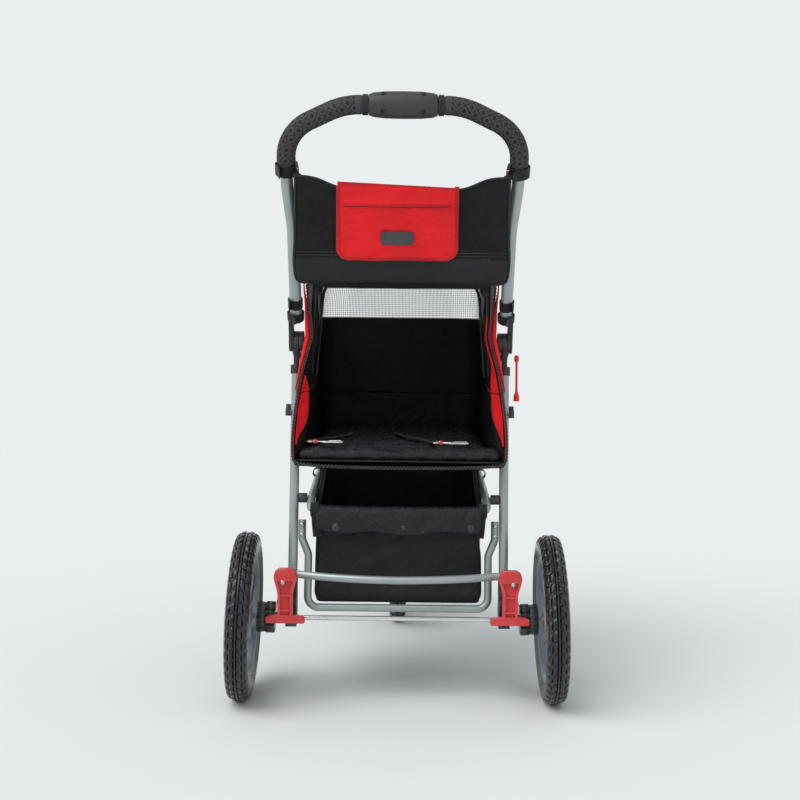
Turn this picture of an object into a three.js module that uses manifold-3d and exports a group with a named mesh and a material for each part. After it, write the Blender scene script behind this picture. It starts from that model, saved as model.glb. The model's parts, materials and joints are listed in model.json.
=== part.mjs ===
// Three-wheeled folding stroller with an enclosed fabric cabin.
// Millimetres, +Z up. The front of the stroller points along -Y and its left side along +X.
// Everything is laid out with the rear axle over Y = 0 and the floor at Z = 0,
// and the finished model is then centred over the origin.

import * as THREE from 'three';
import { mergeVertices } from 'three/addons/utils/BufferGeometryUtils.js';
import Module from 'manifold-3d';

// ---------------------------------------------------------------- driving dimensions

const FIT_GAP = 0.3;                    // clearance between touching pieces

// Side view of the frame, as [y, z] places
const FOLD_JOINT = [-80, 650];
const HANDLE_LENGTH = 460;              // fold joint to the top of the handle
const HANDLE_LEAN = 28.1;               // degrees back from vertical
const LEG_LEAN = 9.14;                  // degrees, the foot of the leg is the rearmost
const HOOP_PIVOT = [-34.2, 365];        // where the lower hoop meets the legs
const CROSSBAR = [0, 347];
const STRUT_ELBOW = [-520, 450];
const SWIVEL_Y = -715;
const BOW_PIVOT = [-120, 585];

// Tubes
const FRAME_HALF_WIDTH = 192;
const HANDLE_TUBE_RADIUS = 11;
const STRUT_RADIUS = 9.5;
const LEG_RADIUS = 8.5;
const HOOP_RADIUS = 7.5;
const HOOP_HALF_WIDTH = 160;
const BRACE_RADIUS = 7;
const GRIP_HALF_WIDTH = 200;
const GRIP_RADIUS = 16.5;
const HANDLE_BEND = 75;
const HANDLE_DROP = 50;                 // the grips slope down this far before they turn down the sides
const HANDLE_SLOPE_START = 100;

// Wheels
const REAR_WHEEL_RADIUS = 152.5;
const REAR_WHEEL_X = 279;
const REAR_TYRE_WIDTH = 43;
const CAMBER = 2;                       // degrees, wheel tops lean inward
const FRONT_WHEEL_RADIUS = 127.5;
const FRONT_WHEEL_Y = -660;
const FRONT_TYRE_WIDTH = 38;
const AXLE_RADIUS = 4.5;

// Cabin, cushion and basket
const CABIN_HALF_WIDTH = 176;
const CABIN_FRONT = -500;
const MOUTH_FRONT = -30;                // where the cabin widens behind the legs
const MOUTH_REAR = 8;
const MOUTH = [[196, 428], [189, 550], [179, 630], [168, 674]];   // half width at each height
const CABIN_FLOOR = 428;
const TUB_TOP = 560;
const HOOD_TOP = 945;
const CLOTH = 4;                        // wall thickness of cloth shells
const BASKET_FLOOR = 183;

// Brake
const PEDAL_X = 201;
const BRAKE_PIVOT = [32, 186];
const PEDAL_FRONT = 37;

// ---------------------------------------------------------------- materials

const metal = (color) => new THREE.MeshStandardMaterial({ color, roughness: 0.4, metalness: 0.85 });
const plastic = (color) => new THREE.MeshStandardMaterial({ color, roughness: 0.5, metalness: 0 });
const cloth = (color) => new THREE.MeshStandardMaterial({ color, roughness: 0.9, metalness: 0 });

const FRAME_PAINT = metal(0x9a9d94);
const CHROME = new THREE.MeshStandardMaterial({ color: 0xd8d8d8, roughness: 0.12, metalness: 1 });
const STEEL = metal(0xb8b9ba);
const BLACK_PLASTIC = plastic(0x1b1c1d);
const RED_PLASTIC = plastic(0xa8232b);
const GREY_PLASTIC = plastic(0x8d939a);
const GRIP_RUBBER = new THREE.MeshStandardMaterial({ color: 0x3a3b3d, roughness: 0.8, metalness: 0 });
const TYRE_RUBBER = new THREE.MeshStandardMaterial({ color: 0x17181a, roughness: 0.6, metalness: 0 });
const BLACK_CLOTH = cloth(0x1d1e20);
const RED_CLOTH = cloth(0xa32730);

// ---------------------------------------------------------------- solid helpers

const wasm = await Module();
wasm.setup();

// A closed geometry as a solid that can be joined and cut.
function solid(geometry) {
  const bare = geometry.clone();
  bare.deleteAttribute('normal');
  bare.deleteAttribute('uv');
  const merged = mergeVertices(bare, 1e-4);
  return new wasm.Manifold(new wasm.Mesh({
    numProp: 3,
    vertProperties: new Float32Array(merged.attributes.position.array),
    triVerts: new Uint32Array(merged.index.array),
  }));
}

// A solid back as a geometry.
function geometryOf(body) {
  const mesh = body.getMesh();
  const geometry = new THREE.BufferGeometry();
  geometry.setAttribute('position', new THREE.BufferAttribute(mesh.vertProperties, 3));
  geometry.setIndex(new THREE.BufferAttribute(mesh.triVerts, 1));
  geometry.computeVertexNormals();
  return geometry;
}

function join(...geometries) {
  return geometryOf(geometries.map(solid).reduce((whole, next) => whole.add(next)));
}

function cut(geometry, ...tools) {
  return geometryOf(tools.map(solid).reduce((whole, tool) => whole.subtract(tool), solid(geometry)));
}

function intersect(geometry, other) {
  return geometryOf(solid(geometry).intersect(solid(other)));
}

const radians = THREE.MathUtils.degToRad;
const BEND_STEP = radians(23);          // largest turn between two stations of a bend

// ---------------------------------------------------------------- shape helpers

// A path of straight stretches joined by arcs, sampled only where it bends.
class BentPath extends THREE.Curve {
  constructor(stations) {
    super();
    this.stations = stations;
  }

  getUtoTmapping(u) {
    return u;
  }

  getPoint(t, target = new THREE.Vector3()) {
    return this.blend(t, 'point', target);
  }

  getTangent(t, target = new THREE.Vector3()) {
    return this.blend(t, 'tangent', target).normalize();
  }

  blend(t, key, target) {
    const place = t * (this.stations.length - 1);
    const before = Math.min(Math.floor(place + 1e-9), this.stations.length - 2);
    return target.lerpVectors(this.stations[before][key], this.stations[before + 1][key], place - before);
  }
}

// Corner points and one bend radius (or one for each corner) as a BentPath.
function bentPath(corners, bend) {
  const points = corners.map((corner) => new THREE.Vector3(...corner));
  const last = points.length - 1;
  const direction = (i) => points[i + 1].clone().sub(points[i]).normalize();
  const stations = [{ point: points[0], tangent: direction(0) }];
  for (let i = 1; i < last; i += 1) {
    const radius = Array.isArray(bend) ? bend[i - 1] : bend;
    const incoming = direction(i - 1);
    const outgoing = direction(i);
    const turn = incoming.angleTo(outgoing);
    const side = outgoing.clone().addScaledVector(incoming, -Math.cos(turn)).normalize();
    const start = points[i].clone().addScaledVector(incoming, -radius * Math.tan(turn / 2));
    const steps = Math.ceil(turn / BEND_STEP);
    for (let step = 0; step <= steps; step += 1) {
      const angle = (turn * step) / steps;
      const point = start.clone()
        .addScaledVector(incoming, radius * Math.sin(angle))
        .addScaledVector(side, radius * (1 - Math.cos(angle)));
      const tangent = incoming.clone().multiplyScalar(Math.cos(angle))
        .addScaledVector(side, Math.sin(angle));
      stations.push({ point, tangent });
    }
  }
  stations.push({ point: points[last], tangent: direction(last - 1) });
  return new BentPath(stations);
}

// A smooth curve sampled at even steps, as a BentPath.
function curvedPath(curve, steps) {
  const stations = [];
  for (let i = 0; i <= steps; i += 1) {
    stations.push({ point: curve.getPoint(i / steps), tangent: curve.getTangent(i / steps) });
  }
  return new BentPath(stations);
}

// A round bar along a path.
function bar(path, radius, sides = 10) {
  const ring = [];
  for (let i = 0; i < sides; i += 1) {
    const angle = (2 * Math.PI * i) / sides;
    ring.push(new THREE.Vector2(radius * Math.cos(angle), radius * Math.sin(angle)));
  }
  const steps = path.stations.length - 1;
  return new THREE.ExtrudeGeometry(new THREE.Shape(ring), { steps, extrudePath: path });
}

function straightBar(from, to, radius, sides = 12) {
  return bar(bentPath([from, to], 0), radius, sides);
}

// A solid of revolution about X. The profile is a list of [x, radius] points.
function turned(profile, segments = 24) {
  const points = profile.map(([x, radius]) => new THREE.Vector2(radius, x));
  return new THREE.LatheGeometry(points, segments).rotateZ(-Math.PI / 2);
}

function box(low, high) {
  const [w, d, h] = high.map((value, i) => value - low[i]);
  return new THREE.BoxGeometry(w, d, h).translate(low[0] + w / 2, low[1] + d / 2, low[2] + h / 2);
}

// Outline points of a plate as a Shape.
function outline(points) {
  return new THREE.Shape(points.map(([a, b]) => new THREE.Vector2(a, b)));
}

// A plate whose outline is given as [y, z] points, filling x from low to high.
function sidePlate(shape, low, high, curveSegments = 6) {
  const depth = high - low;
  return new THREE.ExtrudeGeometry(shape, { depth, bevelEnabled: false, curveSegments })
    .applyMatrix4(new THREE.Matrix4().makeBasis(
      new THREE.Vector3(0, 1, 0), new THREE.Vector3(0, 0, 1), new THREE.Vector3(1, 0, 0)))
    .translate(low, 0, 0);
}

// A plate whose outline is given as [x, z] points, filling y from low to high.
function rearPlate(shape, low, high, curveSegments = 6) {
  const depth = high - low;
  return new THREE.ExtrudeGeometry(shape, { depth, bevelEnabled: false, curveSegments })
    .applyMatrix4(new THREE.Matrix4().makeBasis(
      new THREE.Vector3(1, 0, 0), new THREE.Vector3(0, 0, 1), new THREE.Vector3(0, -1, 0)))
    .translate(0, high, 0);
}

// A plate whose outline is given as [x, y] points, filling z from low to high.
function flatPlate(shape, low, high, curveSegments = 6) {
  const depth = high - low;
  return new THREE.ExtrudeGeometry(shape, { depth, bevelEnabled: false, curveSegments })
    .translate(0, 0, low);
}

// A rectangle with rounded corners. Radii run from the low-left corner counter-clockwise.
function roundedRectangle(left, low, right, high, radii) {
  const [a, b, c, d] = radii;
  const shape = new THREE.Shape();
  shape.moveTo(left + a, low);
  shape.lineTo(right - b, low);
  if (b > 0) shape.absarc(right - b, low + b, b, -Math.PI / 2, 0, false);
  shape.lineTo(right, high - c);
  if (c > 0) shape.absarc(right - c, high - c, c, 0, Math.PI / 2, false);
  shape.lineTo(left + d, high);
  if (d > 0) shape.absarc(left + d, high - d, d, Math.PI / 2, Math.PI, false);
  shape.lineTo(left, low + a);
  if (a > 0) shape.absarc(left + a, low + a, a, Math.PI, 1.5 * Math.PI, false);
  return shape;
}

// ---------------------------------------------------------------- scene helpers

const stroller = new THREE.Group();
const SIDES = [['left', 1], ['right', -1]];

function add(name, geometry, material, parent = stroller) {
  const mesh = new THREE.Mesh(geometry, material.clone());
  mesh.name = name;
  parent.add(mesh);
  return mesh;
}

// Adds a left piece and its mirror image on the right.
function addPair(name, geometry, material, parent = stroller) {
  for (const [side, sign] of SIDES) {
    add(`${name}_${side}`, geometry, material, parent).scale.x = sign;
  }
}

// A group at a [y, z] place, leaning about X.
function leaning([y, z], degrees) {
  const group = new THREE.Group();
  group.position.set(0, y, z);
  group.rotation.x = radians(degrees);
  stroller.add(group);
  return group;
}

// ---------------------------------------------------------------- wheels

function tyreGeometry(radius, width, beadRadius, segments) {
  const half = width / 2;
  const shoulder = [
    [-0.62 * half, beadRadius],
    [-half, beadRadius + 0.45 * (radius - beadRadius)],
    [-0.86 * half, radius - 8],
    [-0.45 * half, radius - 1.3],
  ];
  const mirrored = shoulder.map(([x, r]) => [-x, r]).reverse();
  return turned([...shoulder, [0, radius], ...mirrored, shoulder[0]], segments);
}

function rimGeometry({ radius, halfWidth, hubRadius, hubHalfWidth, bore, spokes, segments }) {
  const bandDepth = 10;
  const inner = radius - bandDepth;
  const band = turned([
    [-halfWidth, inner], [-halfWidth, radius], [halfWidth, radius], [halfWidth, inner], [-halfWidth, inner],
  ], segments);
  const hub = turned([
    [-hubHalfWidth, 0], [-hubHalfWidth, hubRadius], [hubHalfWidth, hubRadius], [hubHalfWidth, 0],
  ], 18);
  const spokeWidthAtHub = 0.85 * hubRadius;
  const spokeWidthAtRim = 1.35 * hubRadius;
  const spoke = sidePlate(outline([
    [-spokeWidthAtHub / 2, 0.6 * hubRadius],
    [spokeWidthAtHub / 2, 0.6 * hubRadius],
    [spokeWidthAtRim / 2, radius - 0.5 * bandDepth],
    [-spokeWidthAtRim / 2, radius - 0.5 * bandDepth],
  ]), -0.4 * halfWidth, 0.4 * halfWidth);
  const pieces = [band, hub];
  for (let i = 0; i < spokes; i += 1) {
    pieces.push(spoke.clone().rotateX((2 * Math.PI * i) / spokes));
  }
  const boreTool = straightBar([-2 * hubHalfWidth, 0, 0], [2 * hubHalfWidth, 0, 0], bore);
  return cut(join(...pieces), boreTool);
}

// The inboard hub: a smooth drum next to the wheel, then the lobed brake ring.
function rearHubGeometry() {
  const drumStart = -23;
  const ringStart = -40;
  const ringEnd = -58;
  const drumRadius = 28;
  const ringRadius = 29;
  const lobes = 12;
  const lobeRadius = 6;
  const scallopDepth = 3.5;
  const ring = new THREE.Shape();
  for (let i = 0; i < lobes; i += 1) {
    const at = (share, radius) => {
      const angle = (2 * Math.PI * (i + share)) / lobes;
      return [radius * Math.cos(angle), radius * Math.sin(angle)];
    };
    const span = lobeRadius / ringRadius / (2 * Math.PI / lobes);
    if (i === 0) ring.moveTo(...at(-span, ringRadius - 1));
    ring.lineTo(...at(-0.4 * span, ringRadius));
    ring.lineTo(...at(0.4 * span, ringRadius));
    ring.lineTo(...at(span, ringRadius - 1));
    ring.lineTo(...at(0.5, ringRadius - scallopDepth));
    if (i < lobes - 1) ring.lineTo(...at(1 - span, ringRadius - 1));
  }
  const ringPlate = sidePlate(ring, ringEnd, ringStart + 1);
  const drum = turned([[ringStart, 0], [ringStart, drumRadius], [drumStart, drumRadius], [drumStart, 0]], 20);
  const bore = straightBar([ringEnd - 5, 0, 0], [drumStart + 5, 0, 0], AXLE_RADIUS + FIT_GAP + 0.2);
  return cut(join(ringPlate, drum), bore);
}

function addRearWheels() {
  const beadRadius = 114.3;
  const tyre = tyreGeometry(REAR_WHEEL_RADIUS, REAR_TYRE_WIDTH, beadRadius, 36);
  const rim = rimGeometry({
    radius: beadRadius - FIT_GAP,
    halfWidth: 16,
    hubRadius: 24,
    hubHalfWidth: 15,
    bore: AXLE_RADIUS + FIT_GAP + 0.2,
    spokes: 6,
    segments: 36,
  });
  const hub = rearHubGeometry();
  for (const [side, sign] of SIDES) {
    const wheel = new THREE.Group();
    wheel.position.set(sign * REAR_WHEEL_X, 0, REAR_WHEEL_RADIUS);
    wheel.rotation.y = -sign * radians(CAMBER);
    stroller.add(wheel);
    add(`rear_tyre_${side}`, tyre, TYRE_RUBBER, wheel);
    add(`rear_rim_${side}`, rim, GREY_PLASTIC, wheel);
    add(`rear_hub_${side}`, hub, BLACK_PLASTIC, wheel).scale.x = sign;
  }
}

// The rod between the rear wheels, bent up at each end so that it runs through the cambered hubs.
function addRearAxle() {
  const kink = 214;
  const end = REAR_WHEEL_X + 10;
  const rise = (x) => REAR_WHEEL_RADIUS + (x - REAR_WHEEL_X) * Math.tan(radians(CAMBER));
  const corners = [[-end, 0, rise(end)], [-kink, 0, rise(kink)], [kink, 0, rise(kink)], [end, 0, rise(end)]];
  add('rear_axle', bar(bentPath(corners, 20), AXLE_RADIUS, 12), CHROME);
}

// ---------------------------------------------------------------- front wheel, fork and swivel

const STEM_RADIUS = 8;
const HOUSING_BOTTOM = 352;
const HOUSING_TOP = 434;
const HOUSING_RADIUS = 22;
const LOCK_HEIGHT = 375;

function addFrontWheel() {
  const beadRadius = 92.3;
  const wheel = new THREE.Group();
  wheel.position.set(0, FRONT_WHEEL_Y, FRONT_WHEEL_RADIUS);
  stroller.add(wheel);
  add('front_tyre', tyreGeometry(FRONT_WHEEL_RADIUS, FRONT_TYRE_WIDTH, beadRadius, 32), TYRE_RUBBER, wheel);
  add('front_rim', rimGeometry({
    radius: beadRadius - FIT_GAP,
    halfWidth: 14,
    hubRadius: 20,
    hubHalfWidth: 19,
    bore: 5.5,
    spokes: 6,
    segments: 32,
  }), GREY_PLASTIC, wheel);
  const axle = turned([[-36, 0], [-36, 8], [-32.5, 8], [-32.5, 5], [32.5, 5], [32.5, 8], [36, 8], [36, 0]], 16);
  add('front_axle', axle, STEEL, wheel);
}

function addFork() {
  const crownBottom = 288;
  const crownTop = HOUSING_BOTTOM - 1.5;
  const armInner = 23;
  const armOuter = 32;
  const crown = sidePlate(outline([
    [SWIVEL_Y - 20, crownBottom],
    [SWIVEL_Y + 24, crownBottom],
    [SWIVEL_Y + 20, crownBottom + 26],
    [SWIVEL_Y - 18, crownBottom + 26],
  ]), -armOuter, armOuter);
  const neck = straightBar([0, SWIVEL_Y, crownBottom + 10], [0, SWIVEL_Y, crownTop], 19, 20);
  const stem = straightBar([0, SWIVEL_Y, crownTop - 5], [0, SWIVEL_Y, HOUSING_TOP - 16], STEM_RADIUS);
  const armShape = new THREE.Shape();
  armShape.moveTo(SWIVEL_Y - 20, crownBottom + 8);
  armShape.lineTo(FRONT_WHEEL_Y - 14, FRONT_WHEEL_RADIUS);
  armShape.absarc(FRONT_WHEEL_Y, FRONT_WHEEL_RADIUS, 14, Math.PI, 2 * Math.PI, false);
  armShape.lineTo(SWIVEL_Y + 24, crownBottom + 8);
  const axleHole = straightBar([-40, FRONT_WHEEL_Y, FRONT_WHEEL_RADIUS], [40, FRONT_WHEEL_Y, FRONT_WHEEL_RADIUS], 5.5);
  const arms = [[-armOuter, -armInner], [armInner, armOuter]].map(([low, high]) => sidePlate(armShape, low, high));
  add('front_fork', cut(join(crown, neck, stem, ...arms), axleHole), BLACK_PLASTIC);
}

const strutPath = (sign) => bentPath([
  [sign * FRAME_HALF_WIDTH, FOLD_JOINT[0] - 43.7, FOLD_JOINT[1] - 19.9],
  [sign * FRAME_HALF_WIDTH, ...STRUT_ELBOW],
  [sign * 20, SWIVEL_Y + 10, 410],
], 70);

const hoopPath = bentPath([
  [14, SWIVEL_Y + 14, 380],
  [HOOP_HALF_WIDTH, -560, 393],
  [HOOP_HALF_WIDTH, ...HOOP_PIVOT],
  [HOOP_HALF_WIDTH, ...CROSSBAR],
  [-HOOP_HALF_WIDTH, ...CROSSBAR],
  [-HOOP_HALF_WIDTH, ...HOOP_PIVOT],
  [-HOOP_HALF_WIDTH, -560, 393],
  [-14, SWIVEL_Y + 14, 380],
], [60, 20, 16, 16, 20, 60]);

function addFrontFrame() {
  add('front_strut_left', bar(strutPath(1), STRUT_RADIUS), FRAME_PAINT);
  add('front_strut_right', bar(strutPath(-1), STRUT_RADIUS), FRAME_PAINT);
  add('lower_hoop', bar(hoopPath, HOOP_RADIUS), FRAME_PAINT);

  // Swivel housing: a barrel with two sockets for the struts and two for the hoop ends.
  const socket = (path, radius) => {
    const end = path.stations.at(-1);
    const near = end.point.clone().addScaledVector(end.tangent, 6).toArray();
    const far = end.point.clone().addScaledVector(end.tangent, -34).toArray();
    return straightBar(near, far, radius, 10);
  };
  const hoopEnds = [1, -1].map((sign) => bentPath(
    [[sign * HOOP_HALF_WIDTH, -560, 393], [sign * 14, SWIVEL_Y + 14, 380]], 0));
  const barrel = straightBar([0, SWIVEL_Y, HOUSING_BOTTOM], [0, SWIVEL_Y, HOUSING_TOP], HOUSING_RADIUS, 20);
  const body = join(
    barrel,
    socket(strutPath(1), STRUT_RADIUS + 4),
    socket(strutPath(-1), STRUT_RADIUS + 4),
    ...hoopEnds.map((path) => socket(path, HOOP_RADIUS + 3.5)),
  );
  const stemBore = straightBar(
    [0, SWIVEL_Y, HOUSING_BOTTOM - 5], [0, SWIVEL_Y, HOUSING_TOP - 14], STEM_RADIUS + 2 * FIT_GAP);
  const lockBore = straightBar([0, SWIVEL_Y - 40, LOCK_HEIGHT], [0, SWIVEL_Y, LOCK_HEIGHT], 3.6);
  const tubes = [
    bar(strutPath(1), STRUT_RADIUS + 2 * FIT_GAP),
    bar(strutPath(-1), STRUT_RADIUS + 2 * FIT_GAP),
    ...hoopEnds.map((path) => bar(path, HOOP_RADIUS + 2 * FIT_GAP)),
  ];
  add('swivel_housing', cut(body, stemBore, lockBore, ...tubes), BLACK_PLASTIC);

  // Knob whose pin runs through the barrel's front wall and holds the stem.
  const knobFace = HOUSING_RADIUS + 1;
  const knob = turned([
    [knobFace - 11, 0], [knobFace - 11, 3], [knobFace, 3], [knobFace, 12],
    [knobFace + 3, 14], [knobFace + 12, 14], [knobFace + 15, 11], [knobFace + 15, 0],
  ], 18).rotateZ(-Math.PI / 2).translate(0, SWIVEL_Y, LOCK_HEIGHT);
  add('swivel_lock_knob', knob, RED_PLASTIC);
}

// ---------------------------------------------------------------- fold joints

const TUBE_START = 48;                  // from the fold joint to the end of each tube

// One of the three discs that turn side by side on the fold joint, with an arm out to a collar on its tube.
// The tube runs along +Z from the fold joint.
function knuckle(inner, outer, tubeRadius) {
  const radius = 19;
  const armHalf = 8;
  const collarLow = 44;
  const collarHigh = 60;
  const disc = turned([[inner, 0], [inner, radius], [outer, radius], [outer, 0]], 24);
  const arm = sidePlate(outline([
    [-0.8 * radius, 5], [0.8 * radius, 5], [armHalf, collarLow + 3], [-armHalf, collarLow + 3],
  ]), inner, outer);
  const along = (low, high, r) => straightBar([FRAME_HALF_WIDTH, 0, low], [FRAME_HALF_WIDTH, 0, high], r);
  const collar = along(collarLow, collarHigh, tubeRadius + 2.2);
  const tube = along(TUBE_START - FIT_GAP, collarHigh + 20, tubeRadius + 2 * FIT_GAP);
  return cut(join(disc, arm, collar), tube);
}

function addFrameKnuckles() {
  const lean = Math.atan2(FOLD_JOINT[0] - STRUT_ELBOW[0], STRUT_ELBOW[1] - FOLD_JOINT[1]);
  const strutLean = THREE.MathUtils.radToDeg(lean);
  addPair('fold_knuckle', knuckle(178.5, 187, STRUT_RADIUS), BLACK_PLASTIC, leaning(FOLD_JOINT, strutLean));
}

// ---------------------------------------------------------------- handle, grips and console

const CONSOLE_HALF = 58.5;
const RING_END = 68;
const GRIP_START = 331;

function gripPath(sign, start, end) {
  return bentPath([
    [sign * GRIP_HALF_WIDTH, 0, start],
    [sign * GRIP_HALF_WIDTH, 0, HANDLE_LENGTH - HANDLE_DROP],
    [sign * HANDLE_SLOPE_START, 0, HANDLE_LENGTH],
    [sign * end, 0, HANDLE_LENGTH],
  ], HANDLE_BEND);
}

function addHandle(handle) {
  const half = [
    [FRAME_HALF_WIDTH, 0, TUBE_START],
    [FRAME_HALF_WIDTH, 0, 230],
    [GRIP_HALF_WIDTH, 0, 310],
    [GRIP_HALF_WIDTH, 0, HANDLE_LENGTH - HANDLE_DROP],
    [HANDLE_SLOPE_START, 0, HANDLE_LENGTH],
  ];
  const mirrored = half.map(([x, y, z]) => [-x, y, z]).reverse();
  const bends = [150, 150, HANDLE_BEND, HANDLE_BEND];
  const path = bentPath([...half, ...mirrored], [...bends, ...bends.toReversed()]);
  add('handle_tube', bar(path, HANDLE_TUBE_RADIUS), FRAME_PAINT, handle);
  addPair('handle_knuckle', knuckle(197, 205.5, HANDLE_TUBE_RADIUS), BLACK_PLASTIC, handle);

  for (const [side, sign] of SIDES) {
    const outer = bar(gripPath(sign, GRIP_START, RING_END + 1), GRIP_RADIUS, 14);
    const inner = bar(gripPath(sign, GRIP_START - 20, RING_END - 20), HANDLE_TUBE_RADIUS + 2 * FIT_GAP, 12);
    add(`grip_${side}`, cut(outer, inner), GRIP_RUBBER, handle);
  }

  const bore = straightBar(
    [-90, 0, HANDLE_LENGTH], [90, 0, HANDLE_LENGTH], HANDLE_TUBE_RADIUS + 3 * FIT_GAP, 16);
  const ring = turned([
    [CONSOLE_HALF + 0.5, 0], [CONSOLE_HALF + 0.5, 18], [RING_END - 2, 18], [RING_END, 16.5], [RING_END, 0],
  ], 20).translate(0, 0, HANDLE_LENGTH);
  addPair('grip_ring', cut(ring, bore), BLACK_PLASTIC, handle);
}

// The console is a barrel split along the tube into a front and a rear shell, held by four screws.
// It is turned on the tube so that its rear shell faces up at the person pushing.
function addConsole(handle) {
  const console = new THREE.Group();
  console.position.z = HANDLE_LENGTH;
  console.rotation.x = radians(35);
  handle.add(console);
  const barrel = turned([
    [-CONSOLE_HALF, 0], [-CONSOLE_HALF, 18], [-50, 20.5], [-30, 22.5], [0, 23],
    [30, 22.5], [50, 20.5], [CONSOLE_HALF, 18], [CONSOLE_HALF, 0],
  ], 24);
  const bore = straightBar([-70, 0, 0], [70, 0, 0], HANDLE_TUBE_RADIUS + 3 * FIT_GAP, 16);
  const whole = cut(barrel, bore);
  const rearHalf = box([-70, FIT_GAP / 2, -30], [70, 30, 30]);
  const frontHalf = box([-70, -30, -30], [70, -FIT_GAP / 2, 30]);
  const screwX = 33;
  const screwZ = 15.5;
  const seat = 9;
  const places = [[screwX, screwZ], [-screwX, screwZ], [screwX, -screwZ], [-screwX, -screwZ]];
  const recesses = places.map(([x, z]) => straightBar([x, seat, z], [x, 30, z], 4.4, 12));
  add('console_rear_shell', cut(intersect(whole, rearHalf), ...recesses), BLACK_PLASTIC, console);
  add('console_front_shell', intersect(whole, frontHalf), BLACK_PLASTIC, console);
  places.forEach(([x, z], i) => {
    const screw = straightBar([x, seat + FIT_GAP, z], [x, seat + 3.5, z], 3.9, 12);
    add(`console_screw_${i + 1}`, screw, STEEL, console);
  });
}

// ---------------------------------------------------------------- organiser bag

const BAG_HALF_WIDTH = 180;
const BAG_BOTTOM = 118;
const BAG_TOP = 345;
const BAG_REAR = 34;
const FLAP_TOP = 333;
const FLAP_LENGTH = 142;

function addOrganiser(handle) {
  const side = (inset) => outline([
    [-26 + inset, BAG_BOTTOM + inset],
    [16 - inset, BAG_BOTTOM + inset],
    [BAG_REAR - 6 - inset, BAG_BOTTOM + 22],
    [BAG_REAR - inset, BAG_BOTTOM + 60],
    [BAG_REAR - inset, BAG_TOP + inset],
    [-48 + inset, BAG_TOP + inset],
    [-46 + inset, BAG_BOTTOM + 24],
  ]);
  const outer = sidePlate(side(0), -BAG_HALF_WIDTH, BAG_HALF_WIDTH);
  const front = roundedRectangle(-BAG_HALF_WIDTH, BAG_BOTTOM, BAG_HALF_WIDTH, BAG_TOP + 2, [42, 42, 0, 0]);
  const body = intersect(outer, rearPlate(front, -60, 60));
  const pocket = sidePlate(side(CLOTH), -BAG_HALF_WIDTH + CLOTH, BAG_HALF_WIDTH - CLOTH);
  const pocketFront = roundedRectangle(
    -BAG_HALF_WIDTH + CLOTH, BAG_BOTTOM + CLOTH, BAG_HALF_WIDTH - CLOTH, BAG_TOP + 10, [38, 38, 0, 0]);
  add('organiser_bag', cut(body, intersect(pocket, rearPlate(pocketFront, -60, 60))), BLACK_CLOTH, handle);

  const flapHalf = 105;
  const flap = roundedRectangle(-flapHalf, FLAP_TOP - FLAP_LENGTH, flapHalf, FLAP_TOP, [22, 22, 4, 4]);
  add('organiser_flap', rearPlate(flap, BAG_REAR + 0.5, BAG_REAR + 4), RED_CLOTH, handle);

  // Strap loop round the lower end of each grip, with a tab down to the bag.
  const loopBottom = GRIP_START + 3;
  const loopTop = loopBottom + 18;
  const loop = straightBar([GRIP_HALF_WIDTH, 0, loopBottom], [GRIP_HALF_WIDTH, 0, loopTop], 19.6);
  const hole = straightBar([GRIP_HALF_WIDTH, 0, loopBottom - 9], [GRIP_HALF_WIDTH, 0, loopTop + 9], 17.2);
  const tab = box([181, -10, BAG_TOP - 20], [183.5, 10, loopBottom + 8]);
  addPair('bag_strap', join(cut(loop, hole), tab), BLACK_CLOTH, handle);
}

// ---------------------------------------------------------------- rear legs

const LEG_BOTTOM = 430;                 // along the leg from the fold joint

// The leg group's +Z runs from the fold joint down the legs.
function addLegs(leg) {
  const tube = straightBar([FRAME_HALF_WIDTH, 0, TUBE_START], [FRAME_HALF_WIDTH, 0, LEG_BOTTOM], LEG_RADIUS);
  addPair('leg', tube, FRAME_PAINT, leg);
  addPair('leg_knuckle', knuckle(187.5, 196.5, LEG_RADIUS), BLACK_PLASTIC, leg);

  const hookShape = outline([[-9, 138], [9, 138], [9, 116], [3, 116], [3, 130], [-3, 130], [-9, 124]]);
  addPair('carry_hook', sidePlate(hookShape, FRAME_HALF_WIDTH + 9.3, FRAME_HALF_WIDTH + 18), BLACK_PLASTIC, leg);

  // Latch lever outside the right leg: round knob at the top, thin rod, flared foot on its pivot.
  const lever = turned([
    [23, 0], [23, 4], [28, 6.4], [36, 6], [40, 3], [92, 3.4], [101, 8], [107, 8], [107, 0],
  ], 12).rotateY(-Math.PI / 2).translate(-FRAME_HALF_WIDTH - 22.5, 0, 0);
  add('fold_latch_lever', lever, RED_PLASTIC, leg);
}

function addHoopSpacers() {
  const low = HOOP_HALF_WIDTH + HOOP_RADIUS + FIT_GAP;
  const high = FRAME_HALF_WIDTH - LEG_RADIUS - FIT_GAP;
  const spacer = turned([[low, 0], [low, 9], [high, 9], [high, 0]], 16);
  const bore = straightBar([low - 5, 0, 0], [high + 5, 0, 0], 3);
  addPair('hoop_spacer', cut(spacer, bore), BLACK_PLASTIC, leaning(HOOP_PIVOT, 0));
}

// Y of the leg's centreline at a height.
const legY = (z) => FOLD_JOINT[0] + (FOLD_JOINT[1] - z) * Math.tan(radians(LEG_LEAN));

function addBrace() {
  const upper = 176;
  const lower = 164;
  const half = [
    [upper, legY(326), 326],
    [upper, legY(292), 292],
    [lower, legY(264), 264],
    [lower, legY(169), 169],
  ];
  const mirrored = half.map(([x, y, z]) => [-x, y, z]).reverse();
  add('rear_brace', bar(bentPath([...half, ...mirrored], [18, 18, 20, 20, 18, 18]), BRACE_RADIUS), FRAME_PAINT);
}

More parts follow.
